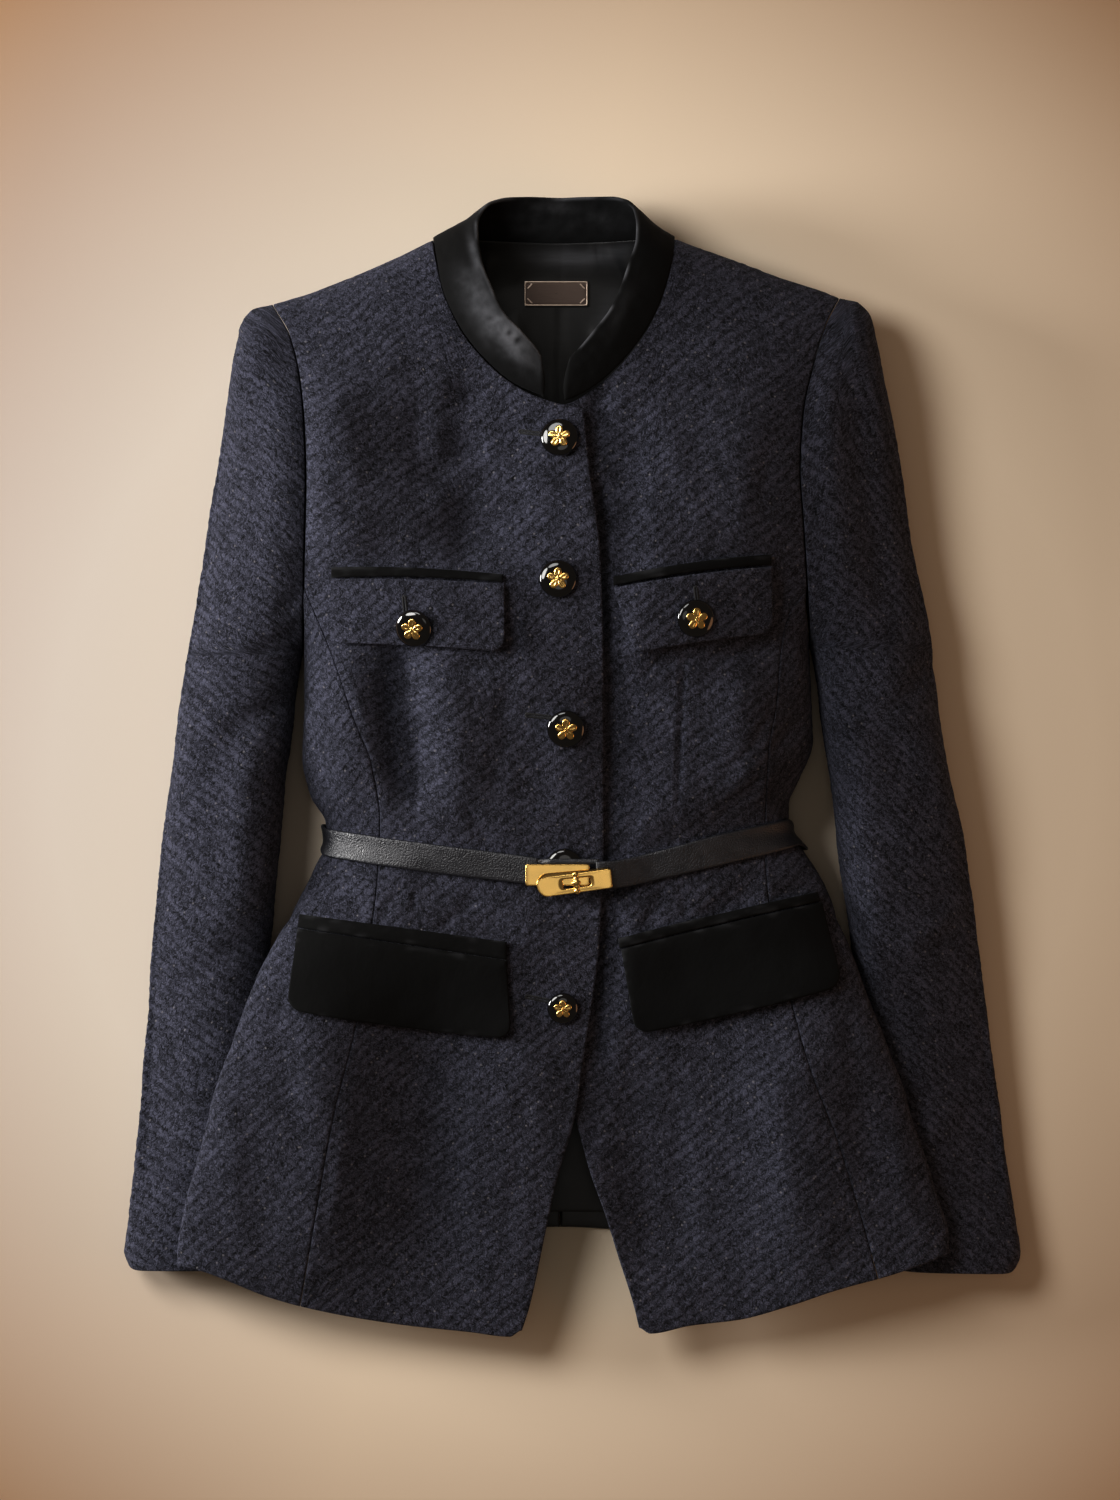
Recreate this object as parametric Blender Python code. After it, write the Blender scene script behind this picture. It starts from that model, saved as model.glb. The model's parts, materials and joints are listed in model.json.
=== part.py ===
"""A belted tweed jacket with a stand collar, lying flat on its back.

X is the width, Y runs from the hem up to the collar, and Z is up from the surface that the jacket lies on.
The tables and named sizes are in millimetres, and the meshes are in metres. "Left" and "right" are as seen
from above, with the collar at the top.
"""

import math
from collections import namedtuple

import bmesh
import bpy
import numpy as np
from mathutils import Matrix, Vector
from mathutils.bvhtree import BVHTree

MM = 0.001

# ---------------------------------------------------------------- driving sizes
TWEED = 2.4  # cloth walls
VELVET = 2.0
SATIN = 1.0
SEAM_INSET = 0.22  # each side of a seam
LAY = 0.5  # between a panel and what lies on it
CENTRE_BACK_X = -8
SHOULDER_Z = 30  # height of the shoulder seams
SHOULDER_TURN = 14  # how far below the shoulder seam the cloth's walls still turn towards it
SHOULDER_REACH = 70  # how far below the shoulder seam the chest reaches its full depth
CAP_REACH = 45  # the same on the sleeve head
BACK_FLATTEN = 1.03  # flattens the back's middle onto the surface
SLEEVE_POWER = 2.4  # squareness of the sleeves' sections
SLEEVE_MATCH = 32  # how far from the armhole the sleeve takes up the body's height
OVER_SLEEVE = 2.6  # between a sleeve and the skirt of the jacket that lies on it
ARMHOLE_DIP = 7
ARMHOLE_DIP_REACH = 42
OUTER_WRAP = 0.45  # how far the top sleeve goes round under the sleeve's outer edge, in radians
INNER_SEAM = 0.4  # how far under the inner edge the other seam lies, in radians
BELT_WIDTH = 18
BELT_THICK = 1.9
BELT_CINCH = 3.0  # how far the belt pulls the front in
BELT_ROOM = 2.8  # how far the back is raised over the belt's back run
BUTTON_RADIUS = 12
LAST_BUTTON_RADIUS = 10
BUTTON_THICK = 4.6
FOLD_FADE = 12  # half thickness of the body below which the folds fade out
OVER_SLEEVE_TOP = -60  # the skirt lies on the sleeves below this

At = namedtuple("At", "y x")
Level = namedtuple("Level", "y depth edge power")
Point = namedtuple("Point", "x y")
Fold = namedtuple("Fold", "x1 y1 x2 y2 width height")
Ruling = namedtuple("Ruling", "seam_x seam_y face free_x free_y free_z")
Side = namedtuple(
    "Side",
    "name toward_body arm underarm_y join_y side_seam back_seam sleeve_outer sleeve_inner",
)

# The torso from the collar down: depth front to back, height of the side edges, squareness
TORSO = (
    Level(345, 56, 30, 2.8),
    Level(300, 62, 30, 3.0),
    Level(250, 71, 30, 3.4),
    Level(200, 79, 30, 3.7),
    Level(150, 86, 30, 3.7),
    Level(110, 88, 29, 3.6),
    Level(71, 87, 29, 3.4),
    Level(30, 83, 29, 3.2),
    Level(-15, 77, 29, 3.0),
    Level(-55, 73, 30, 2.8),
    Level(-83, 71, 34, 2.6),
    Level(-111, 68, 41, 2.5),
    Level(-137, 64, 46, 2.4),
    Level(-172, 59, 48, 2.3),
    Level(-207, 54, 46, 2.3),
    Level(-246, 48, 43, 2.3),
    Level(-291, 41, 40, 2.3),
    Level(-366, 33, 38, 2.3),
)
# The torso's side edges. Above the underarm they run on inside the sleeves.
LEFT_EDGE = (
    At(345, -232), At(250, -230), At(200, -226), At(150, -214), At(113, -194), At(71, -172.2),
    At(40, -172), At(4, -173), At(-19, -168), At(-35, -159), At(-48, -157), At(-63, -164),
    At(-83, -174), At(-111, -190), At(-137, -203), At(-172, -216), At(-207, -228), At(-246, -238),
    At(-291, -250), At(-311, -253), At(-345, -253),
)
RIGHT_EDGE = (
    At(345, 206), At(250, 204), At(200, 200), At(150, 188), At(113, 169), At(76, 151.6),
    At(40, 153), At(15, 154), At(-6, 147), At(-25, 139), At(-41, 139), At(-55, 149),
    At(-76, 162), At(-102, 172), At(-134, 184), At(-175, 200), At(-223, 216), At(-271, 232),
    At(-303, 241), At(-345, 242),
)
# The shoulder seams, and between them the line that the neck is cut out of
SHOULDER = (
    Point(-208, 292), Point(-192, 296), Point(-174, 301), Point(-142, 313), Point(-110, 327),
    Point(-90, 337), Point(-60, 350), Point(-12, 362), Point(45, 350), Point(66, 338),
    Point(101, 325), Point(133, 313), Point(158, 305), Point(171, 300), Point(183, 297), Point(194, 290),
)
# The necklines of the fronts and the backs, up to the shoulder seams
NECK_FRONT_LEFT = (
    Point(7, 228), Point(-7, 231), Point(-18, 234), Point(-37, 243), Point(-57, 260), Point(-73, 281),
    Point(-84, 307),
)
NECK_FRONT_RIGHT = (
    Point(-24, 231), Point(-6, 231), Point(11, 239), Point(27, 252), Point(43, 271), Point(54, 290),
    Point(61, 310),
)
NECK_BACK_LEFT = (Point(-8, 335.2), Point(-30, 335.7), Point(-52, 336.5), Point(-72, 337.6))
NECK_BACK_RIGHT = (Point(-8, 335.2), Point(12, 335.7), Point(32, 336.5), Point(50, 337.6))
SHOULDER_X_LEFT = (-90, -112, -142, -168, -192)  # the panels' columns along the shoulder seams
SHOULDER_X_RIGHT = (66, 87, 112, 140, 171)
# The fronts' free edges
CLOSURE_LEFT = (
    At(228, 7), At(189, 11), At(132, 18), At(42, 20), At(-54, 20), At(-100, 18), At(-127, 16),
    At(-175, 9), At(-223, 2), At(-265, -10), At(-303, -18), At(-345, -27), At(-364, -33),
)
CLOSURE_RIGHT = (
    At(231, -24), At(-100, -24), At(-150, -22), At(-190, -12), At(-230, 3), At(-259, 11),
    At(-287, 21), At(-316, 30), At(-345, 39), At(-362, 43),
)
HEM_FRONT = (
    Point(-256, -319), Point(-238, -323), Point(-219, -330), Point(-197, -339), Point(-174, -346),
    Point(-142, -353), Point(-104, -359), Point(-66, -363), Point(-40, -366), Point(-33, -362),
    Point(42, -360), Point(50, -364), Point(75, -359), Point(107, -355), Point(139, -346),
    Point(171, -335), Point(203, -326), Point(229, -317), Point(244, -311),
)
HEM_BACK = (
    Point(-256, -319), Point(-200, -317), Point(-120, -307), Point(-60, -299), Point(-8, -297),
    Point(45, -300), Point(110, -307), Point(190, -314), Point(244, -311),
)
BELT_FRONT = (
    Point(-160, -48), Point(-123, -54), Point(-78, -60), Point(-30, -66), Point(0, -70),
    Point(25, -69), Point(59, -62), Point(101, -52), Point(140, -42),
)
BELT_BACK_Y = -46

LEFT = Side(
    name="left",
    toward_body=1,
    arm=(At(296, -192), At(276, -181), At(247, -174), At(215, -171), At(183, -170), At(135, -171),
         At(113, -171.5), At(71, -172.2)),
    underarm_y=71,
    join_y=113,
    side_seam=(At(113, -171.5), At(74, -155), At(29, -139), At(1, -128), At(-35, -123), At(-76, -125),
               At(-102, -128), At(-166, -138), At(-223, -152), At(-287, -164), At(-345, -174)),
    back_seam=(At(113, -171.5), At(71, -150), At(17, -128), At(-40, -116), At(-83, -128), At(-137, -150),
               At(-207, -172), At(-319, -196)),
    sleeve_outer=(At(293, -205), At(290, -208), At(286.5, -210.7), At(282, -213), At(257, -218),
                  At(215, -224), At(177, -230), At(132, -237), At(93, -243), At(55, -250), At(13, -255),
                  At(-47, -263), At(-111, -269), At(-175, -274), At(-239, -280), At(-294, -286),
                  At(-311, -288), At(-323, -284)),
    sleeve_inner=(At(297, -160), At(247, -136), At(183, -132), At(135, -138), At(103, -152), At(85, -165),
                  At(71, -172.8), At(55, -175.5), At(17, -180), At(-3, -183), At(-47, -187), At(-95, -192),
                  At(-137, -195), At(-175, -197), At(-239, -201), At(-323, -208)),
)
RIGHT = Side(
    name="right",
    toward_body=-1,
    arm=(At(300, 171), At(282, 162), At(257, 154), At(225, 147), At(189, 145), At(157, 147),
         At(113, 149.8), At(76, 151.6)),
    underarm_y=76,
    join_y=113,
    side_seam=(At(113, 149.8), At(98, 139), At(81, 134), At(39, 130), At(10, 125), At(-54, 123),
               At(-105, 128), At(-153, 140), At(-195, 152), At(-236, 168), At(-287, 184), At(-330, 196)),
    back_seam=(At(113, 149.8), At(76, 132), At(17, 112), At(-40, 98), At(-83, 112), At(-137, 134),
               At(-207, 160), At(-319, 186)),
    sleeve_outer=(At(296.5, 184), At(293, 188), At(288.5, 191.2), At(282, 193.3), At(247, 200), At(196, 210),
                  At(135, 219), At(87, 229), At(36, 235), At(4, 240), At(-47, 251), At(-127, 262),
                  At(-175, 268), At(-239, 277), At(-281, 283), At(-314, 288), At(-324, 284)),
    sleeve_inner=(At(299, 140), At(257, 120), At(189, 112), At(140, 118), At(108, 132), At(90, 145),
                  At(76, 152.2), At(55, 156), At(23, 160), At(-15, 166), At(-63, 171), At(-95, 176),
                  At(-134, 181), At(-175, 186), At(-239, 196), At(-324, 206)),
)
SLEEVE_THICK = (
    At(300, 58), At(247, 60), At(183, 61), At(113, 59), At(55, 57), At(-3, 55), At(-60, 54),
    At(-111, 51), At(-137, 48), At(-172, 44), At(-207, 40), At(-246, 37), At(-291, 34), At(-324, 32),
)
SLEEVE_HEM_LEFT = (Point(-288, -320), Point(-261, -324), Point(-208, -324))
SLEEVE_HEM_RIGHT = (Point(288, -320), Point(261, -326), Point(235, -325), Point(206, -321))

# The largest folds: a soft trough (minus) or ridge along a line
FRONT_FOLDS = (
    Fold(-112, 84, -100, -20, 15, -10),
    Fold(-147, 74, -142, -22, 15, 7),
    Fold(-78, 64, -72, -30, 14, 2.5),
    Fold(-158, -62, -140, -80, 6, -3),
    Fold(-104, -72, -40, -108, 16, -3),
    Fold(-152, 244, -148, 126, 20, 8),
    Fold(-76, 236, -56, 120, 36, -8),
    Fold(-30, 40, -24, -30, 20, -3),
    Fold(-156, -150, -162, -330, 28, 8),
    Fold(-90, -150, -84, -330, 34, -8),
    Fold(-30, -170, -44, -330, 18, 2),
    Fold(34, 222, 36, 110, 12, -3),
    Fold(112, 230, 110, 140, 26, 4.5),
    Fold(32, 62, 38, -34, 24, -8),
    Fold(112, 62, 116, -24, 24, 11),
    Fold(118, -76, 84, -96, 8, -2.5),
    Fold(30, -180, 56, -330, 26, -7),
    Fold(136, -170, 150, -330, 32, 10),
)
SLEEVE_FOLDS = (
    Fold(176, 268, 203, 78, 12, -5),
    Fold(160, 245, 174, 100, 13, 4),
    Fold(206, 230, 232, 20, 18, -8),
    Fold(178, 40, 194, -160, 15, 4),
    Fold(240, -20, 268, -300, 24, -9),
    Fold(206, 20, 232, -40, 14, -2.5),
    Fold(-180, 240, -194, 100, 18, 6),
    Fold(-224, 240, -250, 20, 24, -10),
    Fold(-204, 20, -210, -100, 18, 6),
    Fold(-254, 0, -276, -290, 24, -10),
    Fold(-200, 40, -234, -20, 14, -3),
)

# The collar band: each ruling runs from the neck seam to the free edge. Face says which layer's height the
# seam takes there: 1 the front, -1 the back.
COLLAR = (
    Ruling(-18, 235, 1, -18.5, 252, 73),
    Ruling(-20, 236, 1, -20, 260, 76),
    Ruling(-37, 243.5, 1, -31, 275, 76),
    Ruling(-57, 260.5, 1, -44, 289, 74),
    Ruling(-73, 281.5, 1, -52, 306, 70),
    Ruling(-84, 307, 1, -58, 322, 64),
    Ruling(-87.3, 325, 1, -60.5, 337, 58),
    Ruling(-89.8, 338.6, 1, -61, 347, 51),
    Ruling(-82, 339.2, -1, -58, 356, 44),
    Ruling(-72, 338.8, -1, -52, 362, 38),
    Ruling(-52, 337.2, -1, -40, 365, 31),
    Ruling(-30, 336.2, -1, -26, 365.5, 26),
    Ruling(-8, 335.6, -1, -8, 365, 24),
    Ruling(12, 336.2, -1, 8, 365.5, 26),
    Ruling(32, 337.2, -1, 24, 365.5, 31),
    Ruling(50, 338.8, -1, 35, 363, 38),
    Ruling(58, 339.4, -1, 40, 357, 44),
    Ruling(66, 339.2, 1, 41.5, 347, 51),
    Ruling(65, 328, 1, 41, 337, 57),
    Ruling(61, 310, 1, 36, 321, 63),
    Ruling(54, 290.5, 1, 31, 306, 68),
    Ruling(43, 271.5, 1, 24, 291, 72),
    Ruling(27, 252.7, 1, 15, 279, 75),
    Ruling(11, 239.8, 1, 6, 268, 76),
    Ruling(-4, 232.8, 1, -2, 259, 76),
    Ruling(-5.5, 232.6, 1, -4.5, 250, 73),
)
COLLAR_BULGE = 1.6

# Flaps and welts: four corners, top-left first, anticlockwise
Flap = namedtuple("Flap", "name material thick top_left bottom_left bottom_right top_right corner bow")
FLAP_THICK = 3.0
VELVET_FLAP_THICK = 2.6
WELT_THICK = 2.2
FLAP_CORNER = 9  # radius of a flap's lower corners
FLAPS = (
    Flap("chest_flap_left", "tweed", FLAP_THICK,
         Point(-154, 118.5), Point(-155, 78), Point(-43, 72), Point(-43, 116), FLAP_CORNER, 1.5),
    Flap("chest_flap_right", "tweed", FLAP_THICK,
         Point(26, 113.5), Point(39, 71), Point(127, 84), Point(128, 127), FLAP_CORNER, 1.5),
    Flap("hip_flap_left", "velvet", VELVET_FLAP_THICK,
         Point(-176, -103.5), Point(-182, -155), Point(-39, -174), Point(-42, -124.5), FLAP_CORNER, -2),
    Flap("hip_flap_right", "velvet", VELVET_FLAP_THICK,
         Point(31, -117.5), Point(40, -171), Point(172, -140), Point(160, -87), FLAP_CORNER, -2),
)
WELTS = (
    Flap("chest_welt_left", "velvet", WELT_THICK,
         Point(-154, 126), Point(-154, 119.5), Point(-44, 117), Point(-44, 122), 0, 2),
    Flap("chest_welt_right", "velvet", WELT_THICK,
         Point(26, 120.4), Point(26, 114.5), Point(127, 128), Point(127, 134.4), 0, 2),
    Flap("hip_welt_left", "velvet", WELT_THICK,
         Point(-175, -94), Point(-176, -102.5), Point(-42, -123.5), Point(-42, -112), 0, 0),
    Flap("hip_welt_right", "velvet", WELT_THICK,
         Point(29, -110), Point(30, -116.5), Point(159, -86), Point(157, -80), 0, 1),
)
Button = namedtuple("Button", "name x y radius motif")
BUTTONS = (
    Button("button_1", -8, 209, BUTTON_RADIUS, True),
    Button("button_2", -9, 119, BUTTON_RADIUS, True),
    Button("button_3", -4, 24, BUTTON_RADIUS, True),
    Button("button_4", -5, -64, BUTTON_RADIUS, False),
    Button("button_5", -6, -154, LAST_BUTTON_RADIUS, True),
    Button("button_chest_left", -100, 88, BUTTON_RADIUS, True),
    Button("button_chest_right", 78, 94, BUTTON_RADIUS, True),
)
MOTIF_THICK = 1.2

# The clasp's plates, in the plane of its own frame
CLASP_X = 1.5
CLASP_Y = -73.5
CLASP_TURN = math.radians(5.5)
BASE_LENGTH = 41
BASE_WIDTH = 14
BASE_OFFSET = Point(-11, 4.2)
PLATE_LENGTH = 48
PLATE_WIDTH = 14.5
PLATE_THICK = 2.0
SLOT_LENGTH = 17.6
SLOT_WIDTH = 6.0
TOGGLE_LENGTH = 14.5
TOGGLE_WIDTH = 5.2
TOGGLE_THICK = 2.4
POST_RADIUS = 2.0
RUNNING_GAP = 0.3
PLATE_BEVEL = 0.4
TOGGLE_BEVEL = 0.7
PLATE_OFFSET = Point(-0.5, 0)  # in the clasp's turned frame, as the next two are
SLOT_OFFSET = Point(1.0, -0.8)
TOGGLE_OFFSET = Point(0.8, -0.8)

COLOURS = {
    "tweed": ((0.012, 0.016, 0.032, 1), 0.95, 0.0),
    "velvet": ((0.003, 0.003, 0.004, 1), 0.9, 0.0),
    "satin": ((0.004, 0.004, 0.005, 1), 0.35, 0.0),
    "leather": ((0.012, 0.013, 0.018, 1), 0.4, 0.0),
    "gloss": ((0.002, 0.002, 0.003, 1), 0.08, 0.0),
    "gold": ((0.83, 0.58, 0.24, 1), 0.22, 1.0),
    "bronze": ((0.10, 0.055, 0.04, 1), 0.4, 1.0),
}


# ---------------------------------------------------------------- curves and easing
def smooth(at, keys, values):
    """A cubic through the points that never swings past them, level beyond both ends."""
    keys = np.asarray(keys, float)
    values = np.asarray(values, float)
    if keys[0] > keys[-1]:
        keys = keys[::-1]
        values = values[::-1]
    step = np.diff(keys)
    slope = np.diff(values) / step
    tangent = np.zeros(len(keys))
    same_way = slope[:-1] * slope[1:] > 0
    both = np.where(same_way, slope[:-1] + slope[1:], 1.0)
    tangent[1:-1] = np.where(same_way, 2 * slope[:-1] * slope[1:] / both, 0)
    tangent[0] = slope[0]
    tangent[-1] = slope[-1]
    at = np.clip(np.asarray(at, float), keys[0], keys[-1])
    i = np.clip(np.searchsorted(keys, at) - 1, 0, len(step) - 1)
    t = (at - keys[i]) / step[i]
    start = (1 + 2 * t) * (1 - t) ** 2 * values[i] + t * (1 - t) ** 2 * step[i] * tangent[i]
    end = t * t * (3 - 2 * t) * values[i + 1] - t * t * (1 - t) * step[i] * tangent[i + 1]
    return start + end


def x_at(table, y):
    """The table's x at height y up the jacket."""
    return smooth(y, [row.y for row in table], [row.x for row in table])


def y_at(table, x):
    """The table's y at x across the jacket."""
    return smooth(x, [row.x for row in table], [row.y for row in table])


def torso_level(y, column):
    return smooth(y, [row.y for row in TORSO], [getattr(row, column) for row in TORSO])


def ease(t):
    t = np.clip(t, 0, 1)
    return t * t * (3 - 2 * t)


def rounded(distance, reach, power=2.2):
    """From 0 to 1 over the reach, steep at first, as a rounded edge rises."""
    t = np.clip(distance / reach, 0, 1)
    return (1 - (1 - t) ** power) ** (1 / power)


def fold_height(folds, x, y):
    """The height that the folds add at (x, y), each fading out towards its ends."""
    total = np.zeros(np.broadcast(x, y).shape)
    for fold in folds:
        along_x = fold.x2 - fold.x1
        along_y = fold.y2 - fold.y1
        length = math.hypot(along_x, along_y)
        t = ((x - fold.x1) * along_x + (y - fold.y1) * along_y) / length**2
        across = ((x - fold.x1) * along_y - (y - fold.y1) * along_x) / length
        ends = ease((t + 0.15) / 0.4) * ease((1.15 - t) / 0.4)
        total = total + fold.height * np.exp(-((across / fold.width) ** 2)) * ends
    return total


# ---------------------------------------------------------------- the torso's surface
def torso_width(y):
    """(centre, half width) of the torso's section at y."""
    left = x_at(LEFT_EDGE, y)
    right = x_at(RIGHT_EDGE, y)
    return (left + right) / 2, (right - left) / 2


def torso_mid_and_half(x, y):
    """The height of the torso's middle surface at (x, y), and half its thickness there."""
    centre, half_width = torso_width(y)
    power = torso_level(y, "power")
    depth = torso_level(y, "depth")
    edge = torso_level(y, "edge")
    across = np.clip(np.abs(x - centre) / half_width, 0, 1)
    half = depth / 2 * (1 - across**power) ** (1 / power)
    mid = depth / 2 + (edge - depth / 2) * ease((across - 0.35) / 0.65)
    below = y_at(SHOULDER, x) - y
    half = half * rounded(below, SHOULDER_REACH)
    mid = SHOULDER_Z + (mid - SHOULDER_Z) * ease(below / SHOULDER_REACH)
    return mid, half


def armhole_dip(x, y):
    """The soft valley along the armholes, none at the shoulder or the underarm."""
    total = 0
    for side in (LEFT, RIGHT):
        distance = np.abs(x - x_at(side.arm, y))
        top = side.arm[0].y
        height = (y - side.underarm_y) / (top - side.underarm_y)
        strength = np.clip(4 * height * (1 - height), 0, 1)
        total = total + ARMHOLE_DIP * strength * np.clip(1 - distance / ARMHOLE_DIP_REACH, 0, 1) ** 2
    return total


def front_z(x, y):
    mid, half = torso_mid_and_half(x, y)
    inside = np.clip(half / FOLD_FADE, 0, 1)
    from_belt = np.abs(y - y_at(BELT_FRONT, x))
    cinch = BELT_CINCH * (1 - ease((from_belt - 10) / 26))
    relief = fold_height(FRONT_FOLDS, x, y) - armhole_dip(x, y) - cinch
    return mid + half + relief * inside


def back_z(x, y):
    mid, half = torso_mid_and_half(x, y)
    z = np.maximum(0, mid - BACK_FLATTEN * half)
    for side in (LEFT, RIGHT):
        middle, half_width = ring_width(side, y)
        over_sleeve = (y < OVER_SLEEVE_TOP) & (np.abs(x - middle) < half_width)
        z = np.maximum(z, np.where(over_sleeve, ring_z(side, x, y, 1) + OVER_SLEEVE, 0))
    inside = np.clip(half / FOLD_FADE, 0, 1)
    from_belt = np.abs(y - BELT_BACK_Y)
    return z + BELT_ROOM * (1 - ease((from_belt - 12) / 14)) * inside


def torso_point(theta, y):
    """A point of the torso's outer surface: 0 and pi are its side edges, and the front lies between them."""
    centre, half_width = torso_width(y)
    power = torso_level(y, "power")
    cosine = np.cos(theta)
    x = centre + half_width * np.sign(cosine) * np.abs(cosine) ** (2 / power)
    z = np.where(np.sin(theta) >= 0, front_z(x, y), back_z(x, y))
    return np.stack(np.broadcast_arrays(x, y, z), axis=-1)


def torso_theta(x, y):
    """The angle at which the front passes through x."""
    centre, half_width = torso_width(y)
    power = torso_level(y, "power")
    across = np.clip((x - centre) / half_width, -1, 1)
    return np.arccos(np.sign(across) * np.abs(across) ** (power / 2))


# ---------------------------------------------------------------- the sleeves' surfaces
def ring_width(side, y):
    """(middle x, half width) of the sleeve's section at y."""
    outer = x_at(side.sleeve_outer, y)
    inner = x_at(side.sleeve_inner, y)
    return (outer + inner) / 2, np.abs(inner - outer) / 2


def ring_z(side, x, y, face):
    """The sleeve's height at (x, y), on top (1) or underneath (-1), as if it ran on into the body."""
    middle, half_width = ring_width(side, y)
    across = np.abs(x - middle) / half_width
    thick = x_at(SLEEVE_THICK, y)
    half = thick / 2 * (1 - np.clip(across, 0, 1) ** SLEEVE_POWER) ** (1 / SLEEVE_POWER)
    below = y_at(SHOULDER, x) - y
    half = half * rounded(below, CAP_REACH)
    mid = SHOULDER_Z + (thick / 2 - SHOULDER_Z) * ease(below / CAP_REACH)
    if face > 0:
        return mid + half + fold_height(SLEEVE_FOLDS, x, y) * np.clip(half / FOLD_FADE, 0, 1)
    return np.maximum(0, mid - BACK_FLATTEN * half)


def arm_x(side, y):
    """x of the sleeve's edge along the armhole."""
    return x_at(side.arm, y) - side.toward_body * SEAM_INSET


def sleeve_point(side, theta, y):
    """A point of the sleeve's outer surface: 0 is its edge next to the body, and pi its outer edge."""
    middle, half_width = ring_width(side, y)
    cosine = np.cos(theta)
    reach = half_width * np.sign(cosine) * np.abs(cosine) ** (2 / SLEEVE_POWER)
    x = middle + side.toward_body * reach
    top = ring_z(side, x, y, 1)
    under = ring_z(side, x, y, -1)
    seam_x = arm_x(side, y)
    seam_top = ring_z(side, seam_x, y, 1)
    seam_under = ring_z(side, seam_x, y, -1)
    share = ease(1 - np.abs(x - seam_x) / SLEEVE_MATCH) * (y > side.underarm_y)
    share = share * np.clip((top - under) / np.maximum(seam_top - seam_under, 1), 0, 1)
    top = top + share * (front_z(seam_x, y) - seam_top)
    under = np.maximum(0, under + share * (back_z(seam_x, y) - seam_under))
    z = np.where(np.sin(theta) >= 0, top, under)
    return np.stack(np.broadcast_arrays(x, y, z), axis=-1)


def sleeve_start(side, y):
    """The angle of the armhole seam at y, and 0 below the underarm."""
    middle, half_width = ring_width(side, y)
    across = np.clip(side.toward_body * (arm_x(side, y) - middle) / half_width, -1, 1)
    angle = np.arccos(np.sign(across) * np.abs(across) ** (SLEEVE_POWER / 2))
    return np.where(y > side.underarm_y, angle, 0)


def sleeve_under(side, y):
    """How far the inner seam has moved under the sleeve at y, in radians."""
    return INNER_SEAM * ease((side.underarm_y - y) / 50)


# ---------------------------------------------------------------- meshes
SMALL_STEP = 1e-4
LEAST_LENGTH = 1e-12


def surface_normals(surface, first, second):
    """Unit normals of surface(first, second), by small steps either way."""
    step = SMALL_STEP
    along_first = surface(first + step, second) - surface(first - step, second)
    along_second = surface(first, second + step) - surface(first, second - step)
    normal = np.cross(along_second, along_first)
    return normal / np.maximum(np.linalg.norm(normal, axis=-1, keepdims=True), LEAST_LENGTH)


def set_shoulder_row(points, normals, on_shoulder):
    """Puts the first row's points on a shoulder seam at its height, and turns the walls near it upwards."""
    x = points[0, :, 0]
    slope = (y_at(SHOULDER, x + 1) - y_at(SHOULDER, x - 1)) / 2
    facing = np.stack([-slope, np.ones_like(x), np.zeros_like(x)], axis=-1)
    facing /= np.linalg.norm(facing, axis=-1, keepdims=True)
    points[0, on_shoulder, 2] = SHOULDER_Z
    for i in range(1, 6):
        near = np.clip(1 - (points[0, :, 1] - points[i, :, 1]) / SHOULDER_TURN, 0, 1)
        normals[i] += near[:, None] * facing
        normals[i] /= np.linalg.norm(normals[i], axis=-1, keepdims=True)
    normals[0, on_shoulder] = facing[on_shoulder]


def inset_edges(grid, amount=SEAM_INSET):
    """Draws the grid's four edges in by this much, towards the next row or column."""
    for edge, next_one in ((0, 1), (-1, -2)):
        step = grid[next_one] - grid[edge]
        grid[edge] += amount * step / np.linalg.norm(step, axis=-1, keepdims=True)
    for edge, next_one in ((0, 1), (-1, -2)):
        step = grid[:, next_one] - grid[:, edge]
        grid[:, edge] += amount * step / np.linalg.norm(step, axis=-1, keepdims=True)
    return grid


def wall_faces(rows, columns):
    """Triangles of a closed wall: the outer grid's points first, then the inner grid's."""
    inner = rows * columns
    faces = []
    for i in range(rows - 1):
        for j in range(columns - 1):
            a = i * columns + j
            for face in ((a, a + 1, a + columns + 1), (a, a + columns + 1, a + columns)):
                faces.append(face)
                faces.append(tuple(inner + k for k in reversed(face)))
    ring = [j for j in range(columns)]
    ring += [i * columns + columns - 1 for i in range(1, rows)]
    ring += [(rows - 1) * columns + j for j in range(columns - 2, -1, -1)]
    ring += [i * columns for i in range(rows - 2, 0, -1)]
    for a, b in zip(ring, ring[1:] + ring[:1]):
        faces.append((b, a, inner + a, inner + b))
    return faces


def material(name):
    found = bpy.data.materials.get(name)
    if found:
        return found
    colour, roughness, metallic = COLOURS[name]
    made = bpy.data.materials.new(name)
    made.use_nodes = True
    shader = made.node_tree.nodes["Principled BSDF"]
    shader.inputs["Base Color"].default_value = colour
    shader.inputs["Roughness"].default_value = roughness
    shader.inputs["Metallic"].default_value = metallic
    made.diffuse_color = colour
    return made


def add_object(name, points, faces, look, frame=None):
    """An object from points in its frame, in millimetres, its faces turned outwards and shaded smooth."""
    mesh = bpy.data.meshes.new(name)
    mesh.from_pydata([tuple(MM * float(c) for c in p) for p in points], [], faces)
    shape = bmesh.new()
    shape.from_mesh(mesh)
    bmesh.ops.recalc_face_normals(shape, faces=shape.faces)
    shape.to_mesh(mesh)
    shape.free()
    mesh.shade_smooth()
    mesh.set_sharp_from_angle(angle=math.radians(40))
    made = bpy.data.objects.new(name, mesh)
    bpy.context.scene.collection.objects.link(made)
    mesh.materials.append(material(look))
    if frame:
        made.location = frame.translation * MM
        made.rotation_euler = frame.to_euler()
    return made


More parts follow.
